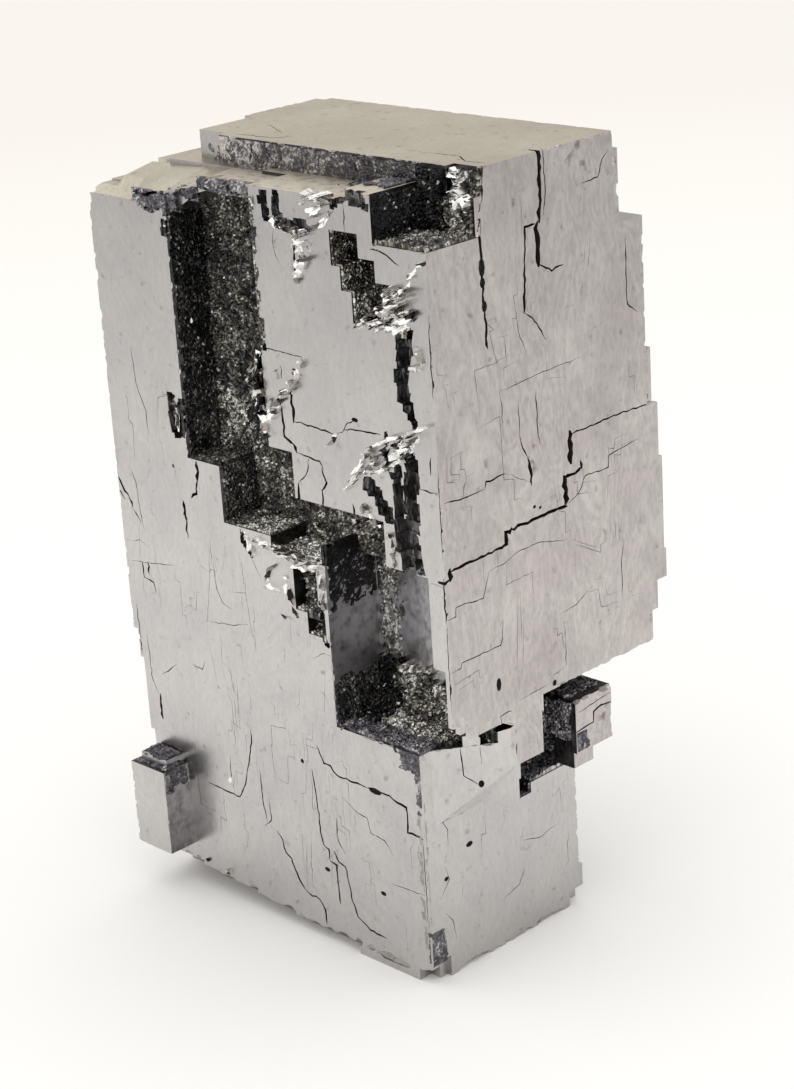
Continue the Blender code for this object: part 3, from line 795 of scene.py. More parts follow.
# Top faces: painted warmer and darker, a painted reflection of the warm backdrop behind; their stains are
# their own
top_painted_warm = metal("top_bismuth_painted_warm", "#c7c0b0", "#d4cdbd", "#b5ac99", 0.34, stain_from=0.6, grain=0.88)
burrowed = metal("burrowed_bismuth", "#747377", "#8b8988", "#454448", 0.36, stain_from=0.4, relief=0.16)
frosted = metal("frosted_bismuth", "#cec6b8", "#dad2c5", "#b6ac9d", 0.5, stain_from=0.5, relief=0.03)
chipped = metal("chipped_bismuth", "#b5b1ae", "#cfccca", "#a09a96", 0.38, relief=0.03)
recess = metal("recess_bismuth", "#a9a7ac", "#b8b6bb", "#858383", 0.45, stain_from=0.5, relief=0.04)
dull = metal("dull_bismuth", "#adacaf", "#c0bfc1", "#96938d", 0.26, stain_from=0.45, grain=0.8)
grainy = metal("grainy_bismuth", "#4a494e", "#605e5c", "#2c2c2e", 0.4, stain_from=0.4, relief=0.08)
# The sloped facet under the tongue: painted lighter than the metal, painted light that cancels the shade it
# reflects from the floor under the overhang
sloped_painted_bright = metal("sloped_bismuth_painted_bright", "#f2f0ef", "#f9f7f6", "#e4e0dd", 0.3)
# Common name: bismuth oxide, dull and nearly black in a crack's depth, and the paler edge of a stopped layer
dark_gap = new_material("crack_oxide", Base_Color=linear("#3c3a3a"), Metallic=0.6, Roughness=0.6)[0]
fine_gap = new_material("layer_edge", Base_Color=linear("#8f8a87"), Metallic=1.0, Roughness=0.4)[0]
GROWN = (bright, flank_painted_dim, top_painted_warm, frosted, chipped, recess, dull, grainy, burrowed, sloped_painted_bright)
METALS = (*GROWN, dark_gap, fine_gap)

# Walls whose metal isn't bright, by the way they face and the box that they lie in
REGIONS = (
    (flank_painted_dim, AXIS_X, (-1.4, -0.1, 27), (0.1, 32.1, 80.1)),
    (flank_painted_dim, AXIS_X, (-1.4, 17, 16), (0.1, 24.5, 26)),
    (top_painted_warm, np.array((0, -0.45, 0.89)), (-46.7, 0, 74), (-22, 5.8, 77.3)),
    (top_painted_warm, AXIS_Z, (-46.7, 0, 74.1), (0.1, 32.1, 80.1)),
    (frosted, AXIS_Z, (-40.3, -0.1, 77.1), (0.1, 7.5, 78.4)),
    (grainy, -AXIS_Z, (-35.2, 0, 73), (-22, 5.8, 76.6)),
    (frosted, -AXIS_Y, (-46.7, 3, 74.1), (-34.9, 15, 77.3)),
    (sloped_painted_bright, np.array((0.754, 0, -0.656)), (-4.8, 0.8, 14.5), (0.1, 12.5, 21.8)),
    (grainy, -AXIS_Y, (-36, 4.8, 41), (-7, 5.2, 80)),
    (grainy, -AXIS_Y, (-37.4, 1.4, 50), (-33.9, 1.8, 55.2)),
    (grainy, AXIS_Z, (-36, 0, 41), (-7, 5.2, 49)),
    (recess, AXIS_X, (-35.2, 0, 48), (-34.8, 5.2, 80)),
    (recess, AXIS_X, (-30.5, 0, 42), (-30, 5.2, 52)),
    (grainy, AXIS_X, (-23.7, 0, 41), (-23.3, 5.2, 48)),
    (recess, AXIS_X, (-16.2, 0, 24), (-15.8, 7, 43.5)),
    (dull, -AXIS_Y, (-16.2, 6.5, 24), (-0.5, 7, 43.5)),
    (grainy, AXIS_Z, (-16.2, 0, 24), (-0.5, 7, 24.5)),
    (grainy, -AXIS_Y, (-21, 1.5, 33), (-16, 3, 41)),
    (grainy, AXIS_X, (-21, 0, 33), (-16, 3, 41)),
    (grainy, AXIS_Z, (-21, 0, 33), (-16, 3, 41)),
    (grainy, -AXIS_Y, (-33.5, 6, 77), (0.1, 8.5, 80)),
    (grainy, -AXIS_Y, (-6.8, 6, 73), (0.1, 8.5, 80)),
    (grainy, AXIS_X, (-6.8, 0, 73), (-6.4, 7, 80)),
    (grainy, AXIS_Z, (-6.8, 0, 73.6), (0.1, 6.6, 74)),
    (grainy, -AXIS_Y, (-12.3, 2.5, 66), (-2.5, 4.5, 75)),
    (grainy, AXIS_X, (-12.3, 0, 66), (-2.5, 4.5, 75)),
    (grainy, AXIS_Z, (-12.3, 0, 66), (-2.5, 4.5, 73)),
    (grainy, AXIS_X, (-9.5, 12, 15), (-3, 23, 27.5)),
    (grainy, -AXIS_Y, (-14.1, 18, 15), (-0.8, 23, 27.5)),
    (grainy, AXIS_Y, (-9.5, 12, 14), (0.1, 15.5, 27.5)),
    (grainy, -AXIS_Z, (-9.5, 0, 15), (0.1, 23, 28)),
    (grainy, AXIS_Z, (-5.8, 0.8, 24.5), (0.1, 8.7, 25.2)),
    (grainy, AXIS_Z, (-14.1, 18.2, 24), (-0.8, 23.9, 24.5)),
    (grainy, AXIS_Y, (-31.7, 25.1, 44.6), (-15.4, 25.3, 58.7)),
    (recess, AXIS_Y, (-34.9, 26.7, 40.8), (-13.2, 26.9, 61.9)),
    (grainy, AXIS_X, (-31.7, 25.1, 44.6), (-15.4, 26.9, 58.7)),
    (grainy, -AXIS_X, (-31.7, 25.1, 44.6), (-15.4, 26.9, 58.7)),
    (grainy, -AXIS_Z, (-31.7, 25.1, 44.6), (-15.4, 26.9, 58.7)),
    (dull, AXIS_Y, (-20.1, 20.7, -0.8), (-7, 20.9, 12.7)),
    (dull, AXIS_Y, (-46.7, 27.1, 66.3), (-30.9, 27.3, 71.3)),
    (grainy, AXIS_Z, (-44.6, -3.4, 13), (-39.8, 0.1, 14.6)),
    (dull, AXIS_X, (-40.6, -3.4, 3.8), (-39.8, 0.1, 14.5)),
)


def add_boolean(piece, name, operation, collection):
    """Adds an exact boolean with the pieces of a collection, which keep their own materials."""
    modifier = piece.modifiers.new(name, "BOOLEAN")
    modifier.operation = operation
    modifier.solver = "EXACT"
    modifier.operand_type = "COLLECTION"
    modifier.collection = collection
    modifier.material_mode = "TRANSFER"


crystal = bpy.data.objects.new("crystal_block", frame["nodes"]["crystal"].data.copy())
bpy.context.scene.collection.objects.link(crystal)
shell = bmesh.new()
shell.from_mesh(crystal.data)
bmesh.ops.remove_doubles(shell, verts=shell.verts, dist=0.002 * MM)
bmesh.ops.dissolve_limit(shell, angle_limit=0.01, verts=shell.verts, edges=shell.edges)
shell.to_mesh(crystal.data)
shell.free()
crystal.data.materials.clear()
for material in METALS:
    crystal.data.materials.append(material)
for pieces, material in (
    (fillings + foot_corner, bright),
    (neck, grainy),
    (crack_spaces, dark_gap),
    (growth_spaces, fine_gap),
    (burrow_spaces, burrowed),
    (chip_spaces, chipped),
):
    for piece in pieces:
        piece.data.materials.append(material)
filled = collected("fillings", fillings)
spaces = collected("spaces", foot_corner + neck + crack_spaces + growth_spaces + burrow_spaces + chip_spaces)
add_boolean(crystal, "filled", "UNION", filled)
add_boolean(crystal, "cut", "DIFFERENCE", spaces)
bpy.context.view_layer.update()
cut_block = bpy.data.meshes.new_from_object(crystal.evaluated_get(bpy.context.evaluated_depsgraph_get()))
crystal.modifiers.clear()
crystal.data = cut_block
crystal.data.name = "crystal_block"
for collection in (filled, spaces):
    for piece in list(collection.objects):
        bpy.data.objects.remove(piece)
    bpy.data.collections.remove(collection)

count = len(cut_block.polygons)
centres, normals, slots = np.zeros(count * 3), np.zeros(count * 3), np.zeros(count, int)
cut_block.polygons.foreach_get("center", centres)
cut_block.polygons.foreach_get("normal", normals)
cut_block.polygons.foreach_get("material_index", slots)
centres, normals = (centres.reshape(-1, 3) - CORNER) / MM, normals.reshape(-1, 3)
grown = slots == 0
for material, facing, low, high in REGIONS:
    inside = (centres >= low).all(1) & (centres <= high).all(1) & (normals @ facing > 0.9)
    slots[grown & inside] = METALS.index(material)
cut_block.polygons.foreach_set("material_index", slots)
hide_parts("crystal")
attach(crystal, "root")

# --- Broken crust -----------------------------------------------------------------------------------
# Walls of the hollows where the melt drained away before they were smooth: a dark crust of broken cube
# corners a fifth of a millimetre wide, grown on the bismuth and never separate from it. Its tilted grains
# glitter, and a few grains are painted near white as painted glints.
GRAIN = 0.2
GRAIN_POINT = 0.082
COARSE_GRAIN, BROAD_GRAIN, STREAK_WIDTH = 3.6 * GRAIN, 9.0 * GRAIN, 3.0 * GRAIN
STREAK_SQUEEZE = 0.12
# A grain whose random number passes this is painted near white: a painted glint
PAINTED_GLINT_FROM = 0.975
SUNK = -0.15
CRUST_ROOT = -0.5
CRUST_TILT = 1.3
CRUST_TONES = (0.0, 0.2, 0.45, 0.7, 1.0)
DARK_CRUST = ("#1a1a1e", "#39393b", "#656461", "#99958a", "#fbfaf8")
SMOKY_CRUST = ("#333338", "#4e4d53", "#6c6a70", "#8c8a8d", "#cac9c9")
WORN_CRUST = ("#8c8681", "#a19b96", "#aea9a4", "#bab5b1", "#d8d5d2")


def grains(u, v, size, tilt, seed):
    """Height and two numbers of the grain at every point of a wall.

    A point belongs to the nearest centre of a jittered lattice, measured along the axis on which it is
    further away. It stands at that grain's own height plus the grain's tilt times the way to its centre.
    """
    rng = np.random.default_rng(seed)
    u, v = u / size - np.floor(u.min() / size) + 1, v / size - np.floor(v.min() / size) + 1
    column, row = np.floor(u).astype(int), np.floor(v).astype(int)
    lattice = rng.random((column.max() + 2, row.max() + 2, 7))
    nearest = np.full(u.shape, np.inf)
    found = np.zeros((3, *u.shape))
    for left in (-1, 0, 1):
        for down in (-1, 0, 1):
            grain = np.moveaxis(lattice[column + left, row + down], -1, 0)
            across, up = u - (column + left + grain[0]), v - (row + down + grain[1])
            distance = np.maximum(np.abs(across), np.abs(up))
            height = grain[2] + tilt * ((grain[3] - 0.5) * across + (grain[4] - 0.5) * up)
            found = np.where(distance < nearest, (height, grain[5], grain[6]), found)
            nearest = np.minimum(nearest, distance)
    return found


def closed_sheet(face, u, v, top, root, tone):
    """A sheet on a face: a grid of tops over (u, v), a skirt down its rim, and one flat root under it."""
    sheet = on_wall(face, u, v, top).reshape(-1, 3)
    index = np.arange(len(sheet)).reshape(u.shape)
    quads = np.stack([index[:-1, :-1], index[1:, :-1], index[1:, 1:], index[:-1, 1:]], -1).reshape(-1, 4)
    rim = np.concatenate([index[:, 0], index[-1, 1:], index[-2::-1, -1], index[0, -2:0:-1]])
    under = on_wall(face, u.ravel()[rim], v.ravel()[rim], root)
    low_rim = len(sheet) + np.arange(len(rim))
    skirt = np.stack([rim, low_rim, np.roll(low_rim, -1), np.roll(rim, -1)], 1)
    faces = quads.tolist() + skirt.tolist() + [low_rim[::-1].tolist()]
    return np.concatenate([sheet, under]), faces, np.concatenate([tone.ravel(), tone.ravel()[rim]])


def crust_sheet(face, u_range, v_range, lift, relief, shine, ragged=(0, 0, 0, 0), seed=0):
    """A closed sheet of crust on a wall.

    Its top is the wall plus lift plus the heights of fine and coarse grains times relief. A ragged side
    drops below the wall within a random distance of up to ragged, so that the crust ends in a broken line.
    The tone is shine times a grain's random number squared, varied by the coarse and broad grains round it
    and in upright streaks, and one grain in forty is painted bright as a painted glint.
    """
    across = np.linspace(*u_range, max(2, round((u_range[1] - u_range[0]) / GRAIN_POINT)))
    up = np.linspace(*v_range, max(2, round((v_range[1] - v_range[0]) / GRAIN_POINT)))
    u, v = np.meshgrid(across, up, indexing="ij")
    height, luck, _ = grains(u, v, GRAIN, CRUST_TILT, seed)
    coarse, drop, _ = grains(u, v, COARSE_GRAIN, CRUST_TILT, seed + 1)
    broad, patch, _ = grains(u, v, BROAD_GRAIN, CRUST_TILT, seed + 2)
    sides = (u - u_range[0], u_range[1] - u, v - v_range[0], v_range[1] - v)
    border = np.min([side / max(width, 1e-6) for side, width in zip(sides, ragged)], axis=0)
    top = lift + relief * (0.6 * height + 0.5 * coarse + 0.5 * broad)
    top = np.where(border < 0.15 + 0.85 * drop, SUNK, top)
    _, streak, _ = grains(u, STREAK_SQUEEZE * v, STREAK_WIDTH, CRUST_TILT, seed + 3)
    tone = shine * (0.32 + 0.8 * luck**2) * (0.5 + 0.5 * drop + 0.55 * patch) * (0.8 + 0.4 * streak)
    # Painted glints: one grain in forty is painted bright
    tone = np.where(luck > PAINTED_GLINT_FROM, 0.7 + 0.3 * drop, tone)
    return closed_sheet(face, u, v, top, CRUST_ROOT, tone)


def joined(name, sheets, tones, shades, material):
    """One piece of several closed sheets. Its points' colours run through the shades at the given tones."""
    starts = np.cumsum([0] + [len(points) for points, _, _ in sheets])
    faces = [[start + corner for corner in face] for start, sheet in zip(starts, sheets) for face in sheet[1]]
    piece = new_piece(name, np.concatenate([points for points, _, _ in sheets]), faces, turn_outward=False)
    tone = np.concatenate([tone for _, _, tone in sheets])
    stops = np.array([linear(shade) for shade in shades])
    colours = np.stack([np.interp(tone, tones, stop) for stop in stops.T], 1)
    attribute = piece.data.attributes.new("colour", "FLOAT_COLOR", "POINT")
    attribute.data.foreach_set("color", colours.astype(np.float32).ravel())
    piece.data.materials.append(material)
    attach(piece, "root")
    return piece


def shaded(name, roughness):
    """Bismuth metal whose colour is that of the piece's points."""
    material, tree, shader = new_material(name, Metallic=1.0, Roughness=roughness)
    colour = add(tree, "Attribute", {"attribute_name": "colour"}).outputs["Color"]
    tree.links.new(shader.inputs["Base Color"], colour)
    return material


# Common name: bismuth, broken as it froze. Every grain is a small mirror of its own, most of them dark
broken = shaded("broken_bismuth", 0.34)

FRONT, RIGHT, UP, BACK = "front", "right", "up", "back"
# Sheets of each crust: the way its wall faces and the wall's plane, two ranges, lift, relief, shine, and how
# far each side is ragged
CRUSTS = {
    "tall_hollow_crust": (
        DARK_CRUST,
        (FRONT, 5, (-35.05, -22.5), (48.4, 76.4), 0.08, 0.3, 0.58, (0, 0.25, 0, 0)),
        (FRONT, 5, (-35.05, -29), (48.4, 56.5), 0.14, 0.3, 1.1, (0, 2, 0, 2.8)),
    ),
    "tall_side_crust": (
        DARK_CRUST,
        (RIGHT, -35, (0.1, 5), (48.5, 75.5), -0.02, 0.1, 0.46, (0.5, 0, 0, 1.5)),
        (FRONT, 0, (-22.6, -21.7), (62.6, 76.8), 0, 0.1, 0.8, (0, 0.8, 0.5, 0.5)),
    ),
    "stair_hollow_crust": (
        DARK_CRUST,
        (FRONT, 5, (-30.4, -19.3), (42.5, 51.9), 0.1, 0.3, 0.78, (0, 0.2, 0, 0)),
        (FRONT, 5, (-23.6, -7.4), (41, 47.5), 0.06, 0.3, 0.8, (0, 0.4, 0.5, 0.2)),
        (UP, 48.5, (-35.05, -30.3), (0.05, 5.05), 0, 0.25, 0.6, (0, 0, 0.25, 0)),
        (UP, 42.6, (-30.35, -23.5), (0.05, 5.05), 0, 0.2, 1.1, (0, 0, 0.25, 0)),
        (UP, 41.1, (-23.55, -16), (0.05, 5.05), 0, 0.15, 1.8, (0, 0, 0.25, 0)),
        (RIGHT, -30.3, (0.1, 5), (42.6, 48.5), 0, 0.2, 0.5, (0.4, 0, 0, 0)),
        (FRONT, 1.7, (-20.6, -17.3), (35.6, 40.2), 0, 0.4, 0.8),
        (FRONT, 1.4, (-19, -16.5), (33.4, 36.6), 0, 0.4, 0.8),
        (UP, 35.6, (-20.6, -17.4), (0.1, 2.6), 0, 0.25, 1.1),
        (UP, 33.4, (-19, -16.6), (0.1, 2), 0, 0.25, 1.1),
    ),
    "low_hollow_crust": (
        DARK_CRUST,
        (UP, 24.2, (-16.05, -12.6), (2.2, 6.85), 0.04, 0.4, 0.34, (0, 1, 0.8, 0)),
        (UP, 24.2, (-13.8, -8), (2.4, 6.85), 0.06, 0.4, 1.5, (0.8, 0.8, 0.8, 0)),
        (UP, 24.2, (-9, -4.75), (2.2, 6.85), 0.03, 0.3, 1.05, (0.6, 0, 0.8, 0)),
        (UP, 24.2, (-4.9, -3.7), (3.1, 6.45), 0, 0.2, 0.6),
        (UP, 24.2, (-3.8, -2.5), (4.8, 6.45), 0, 0.15, 0.3),
        (FRONT, 6.8, (-16.05, -12.4), (24.1, 30.4), 0.1, 0.4, 0.36, (0, 1, 0, 1.1)),
        (FRONT, 6.8, (-13.8, -8.4), (24.1, 30.6), 0.14, 0.45, 1.15, (0.9, 0.9, 0, 1.1)),
        (FRONT, 6.8, (-9.2, -4.6), (24.1, 29.2), 0.1, 0.4, 0.85, (0.6, 0, 0, 0.8)),
        (FRONT, 6.4, (-4.7, -1.1), (24.1, 27.3), 0, 0.15, 0.3),
        (FRONT, 6.8, (-16.05, -11.4), (29.8, 43), -0.02, 0.1, 1.2, (0.8, 3.4, 0, 0)),
        (RIGHT, -16, (0.1, 6.8), (24.2, 29.9), 0, 0.25, 0.5, (0.4, 0, 0, 1.4)),
        (RIGHT, -16, (0.1, 6.8), (35.4, 43), -0.02, 0.06, 0.28, (0.3, 0, 2.2, 0)),
    ),
    "low_lip_crust": (
        SMOKY_CRUST,
        (UP, 24.2, (-16.05, -4.75), (0.05, 3.4), 0.02, 0.3, 0.8, (0, 0, 0.35, 0)),
        (FRONT, 0, (-8.4, -4.76), (21.4, 24.3), 0, 0.1, 0.6, (1.4, 0, 1.5, 0)),
        (FRONT, 0, (-6.3, -4.76), (17, 22.4), 0, 0.06, 0.9, (1.2, 0, 3, 0)),
    ),
    "slab_wall_crust": (
        SMOKY_CRUST,
        (FRONT, 6.4, (-33.38, -22), (76.6, 79.9), 0, 0.08, 1.25, (0, 0, 0, 0.1)),
        (FRONT, 6.4, (-30, -6.7), (76.6, 79.9), 0.05, 0.12, 0.9, (5, 0, 0, 0.15)),
        (FRONT, 6.4, (-19, -6.7), (76.6, 79.9), 0.09, 0.14, 0.55, (6, 0, 0, 0.15)),
        (FRONT, 7.4, (-37, -33.3), (76.9, 79.4), 0, 0.06, 1.2, (3, 0, 0, 2)),
        (UP, 77.5, (-15, -10.2), (3.6, 6.5), 0, 0.16, 0.5, (1.6, 0, 1.4, 0)),
        (UP, 78.3, (-10.3, -6.8), (2.2, 6.5), 0, 0.2, 0.55, (1, 0, 1, 0)),
    ),
    "brow_crust": (
        SMOKY_CRUST,
        (FRONT, 0, (-39.9, -34.4), (73, 75.4), 0, 0.25, 0.85, (1.2, 0.3, 0.9, 0.8)),
        (FRONT, 0.3, (-34.7, -33), (73.6, 75.8), 0, 0.25, 0.75, (0.3, 0.3, 0.5, 0.6)),
        (FRONT, 0.7, (-33.2, -30.8), (74.8, 76.2), 0, 0.25, 0.75, (0.3, 0.3, 0.5, 0.5)),
        (FRONT, 1, (-31.1, -26.4), (75.9, 77.2), 0, 0.2, 0.75, (0.4, 0.3, 0.5, 0.3)),
        (FRONT, 1.1, (-26.8, -22.3), (75.8, 77.3), 0, 0.2, 1.1, (0.6, 0, 0.6, 0.3)),
        (RIGHT, -33, (0.6, 5), (74.6, 76), 0, 0.15, 0.5),
    ),
    "notch_crust": (
        DARK_CRUST,
        (FRONT, 6.4, (-6.6, -3.2), (73.8, 79.8), 0.05, 0.4, 0.3, (0, 0.6, 0, 0.3)),
        (FRONT, 6.4, (-4, -0.1), (73.8, 77.4), 0.05, 0.4, 0.75, (0.8, 0.3, 0, 0)),
        (FRONT, 7.5, (-3.2, -0.1), (77.3, 79.8), 0.05, 0.3, 0.6, (0, 0.3, 0, 0.3)),
        (UP, 73.8, (-6.6, -0.1), (0.1, 6.5), 0, 0.3, 0.85, (0, 0.3, 0.3, 0)),
        (RIGHT, -6.6, (0.1, 6.5), (73.8, 78.2), 0, 0.25, 0.22, (0.3, 0, 0, 0.3)),
    ),
    "corner_stair_crust": (
        DARK_CRUST,
        (FRONT, 3.1, (-12.1, -8.5), (71.2, 74.5), 0, 0.3, 0.5),
        (FRONT, 4, (-11, -6.5), (69, 72.3), 0, 0.3, 0.7),
        (FRONT, 3.4, (-9.7, -3), (66.1, 70.3), 0, 0.4, 0.9),
        (UP, 71.2, (-12.1, -11), (0.1, 3.1), 0, 0.2, 0.8),
        (UP, 69, (-11, -9.7), (0.1, 4), 0, 0.2, 0.8),
        (UP, 66.1, (-9.7, -3.1), (0.1, 3.4), 0, 0.3, 0.9, (0, 0, 0.25, 0)),
        (RIGHT, -12.1, (0.1, 3.1), (71.2, 74.5), 0, 0.2, 0.9),
        (RIGHT, -11, (0.1, 4), (69, 71.4), 0, 0.2, 1),
        (RIGHT, -9.7, (0.1, 3.4), (66.1, 69.1), 0, 0.2, 1.1),
    ),
    "foot_crust": (
        SMOKY_CRUST,
        (RIGHT, -9, (14, 21), (15.6, 27.4), 0, 0.35, 1.1),
        (FRONT, 21, (-9, -4), (15.6, 24), 0, 0.3, 1.2),
        (UP, 15.5, (-9, -4.8), (15.4, 21), 0, 0.3, 1.1),
        (UP, 14.4, (-6.6, -4.8), (13.7, 15.4), 0, 0.2, 0.3),
        (RIGHT, -6.6, (13.7, 15.4), (14.4, 16.5), 0, 0.2, 0.3),
        (FRONT, 15.4, (-6.6, -4.8), (14.4, 15.6), 0, 0.2, 0.3),
        (RIGHT, -0.9, (18.4, 20.3), (18.7, 21), -0.02, 0.15, 0.9, (0, 0.7, 0, 0.3)),
        (UP, 24.3, (-13.9, -1.6), (18.35, 23.6), 0, 0.18, 1.15, (0, 1.2, 0.3, 0.4)),
        (FRONT, 18.3, (-13.9, -1.2), (19.6, 24.2), 0, 0.2, 1.3, (0, 0.7, 0.6, 0.4)),
        (RIGHT, -4.7, (0.06, 2.3), (1.1, 5), 0, 0.04, 0.62, (0, 0.3, 0.25, 0.15)),
        (FRONT, 0, (-5.2, -4.76), (1.5, 5.1), 0, 0.04, 0.62, (0.15, 0, 0.25, 0.15)),
    ),
    "side_crystal_crust": (
        SMOKY_CRUST,
        (UP, 14.4, (-44.3, -40.5), (-2.3, -0.1), 0, 0.25, 0.6, (0.3, 0, 0.3, 0)),
        (UP, 13.4, (-45.1, -40), (-3.2, -0.1), 0, 0.25, 0.6, (0.4, 0, 0.4, 0)),
        (RIGHT, -39.9, (-3.2, -0.1), (10.4, 13.4), -0.02, 0.2, 0.6, (0.3, 0, 1.4, 0)),
    ),
    "back_hollow_crust": (
        DARK_CRUST,
        (BACK, 25.2, (15.5, 31.6), (44.7, 58.6), 0.05, 0.3, 0.55),
        (UP, 44.68, (-31.6, -15.5), (25.2, 26.8), 0, 0.2, 0.7),
    ),
    "back_ledge_crust": (
        DARK_CRUST,
        (UP, 66.4, (-46.5, -31.05), (27.2, 29.5), 0, 0.2, 0.6, (0.3, 0, 0, 0.4)),
        (BACK, 27.2, (31.05, 46.5), (66.4, 71.2), 0, 0.15, 0.6, (4, 0, 0, 0.4)),
        (BACK, 20.8, (8, 18), (-0.7, 9), 0, 0.25, 0.6, (2, 2, 0, 3)),
    ),
    "worn_edge": (
        WORN_CRUST,
        (FRONT, 6.4, (-33.38, -31), (77.25, 79.98), 0.12, 0.02, 0.8, (0, 1.6, 1, 0)),
        (RIGHT, -4.7, (0.06, 0.5), (5, 20), 0.01, 0.02, 0.7, (0, 0.35, 2, 2)),
        (FRONT, 0, (-6, -5.1), (2, 21), 0.01, 0.02, 0.6, (0.9, 0, 2, 2)),
    ),
}
for name, (shades, *walls) in CRUSTS.items():
    sheets = [
        crust_sheet(wall(facing, plane), *sizes, seed=7 * order + len(name))
        for order, (facing, plane, *sizes) in enumerate(walls)
    ]
    joined(name, sheets, CRUST_TONES, shades, broken)

# --- Torn metal -------------------------------------------------------------------------------------
# Thin skins of bismuth that tore while they were still soft, and lie crumpled along the broken edges.
# They are painted as the brightest metal on the piece: narrow facets painted white as glints beside folds
# painted dark as shade.
TORN_POINT = 0.07
TORN_FACET = 0.42
TORN_TILT = 2.8
TATTER_RIM, TATTER_TIP = 0.6, 0.8
# Facet colours from near black, painted shade in the folds, to white, painted glints
TORN_PAINTED_LIGHT_SHADES = ("#29292b", "#3c3b3d", "#9c9793", "#c8c4c0", "#f3f2f0", "#ffffff")
TORN_TONES = (0.0, 0.28, 0.36, 0.52, 0.6, 1.0)


def torn_strip(face, lift, crumple, painted_gleam, root, spine, seed):
    """A crumpled strip: a grid whose one way follows a spine of (u, v, half width), and the other crosses it.

    Its facets are grains stretched along the spine, and their heights are lift plus crumple times the
    grain's. Facets by the rim drop to the wall at random, so that the strip ends in tatters. Each facet's
    colour is painted from near black, a painted shade of the folds, to white, a painted glint; more
    painted_gleam paints more of the facets white.
    """
    rng = np.random.default_rng(seed)
    spine = np.array(spine, float)
    reach = np.concatenate([[0.0], np.cumsum(np.linalg.norm(np.diff(spine[:, :2], axis=0), axis=1))])
    along = np.linspace(0.0, reach[-1], max(4, round(reach[-1] / TORN_POINT)))
    centre_u, centre_v, half = (np.interp(along, reach, spine[:, column]) for column in range(3))
    lean_u, lean_v = np.gradient(centre_u), np.gradient(centre_v)
    soften = np.ones(9) / 9
    lean_u, lean_v = (np.convolve(np.pad(lean, 4, mode="edge"), soften, "valid") for lean in (lean_u, lean_v))
    length = np.hypot(lean_u, lean_v)
    swell = rng.uniform(0.6, 1.3, int(2 * reach[-1]) + 2)
    half = half * np.interp(2 * along, np.arange(len(swell)), swell)
    across = np.linspace(-1.0, 1.0, max(5, round(2.2 * spine[:, 2].max() / TORN_POINT)))
    u = centre_u[:, None] - (lean_v / length * half)[:, None] * across
    v = centre_v[:, None] + (lean_u / length * half)[:, None] * across
    lengthwise, crosswise = 0.5 * along[:, None] + 0 * u, half[:, None] * across
    height, luck, keep = grains(lengthwise, crosswise, TORN_FACET, TORN_TILT, seed)
    tips = np.minimum(along, reach[-1] - along)[:, None] / TATTER_TIP
    border = np.minimum((1 - np.abs(across))[None, :] / TATTER_RIM, tips)
    top = np.where(border < keep, SUNK, lift + crumple * np.clip(height, -0.1, 1.3))
    return closed_sheet(face, u, v, top, root, np.clip(luck + painted_gleam, 0.0, 1.0))


# Common name: bismuth foil, torn hot. Smooth between its folds; its facets are painted white as glints and
# near black as shade in the folds
torn = shaded("torn_bismuth_painted_glints", 0.2)

NOTCH_BACK, TALL_BACK, TALL_SIDE = wall("front", 6.4), wall("front", 5.0), wall("right", -35.0)
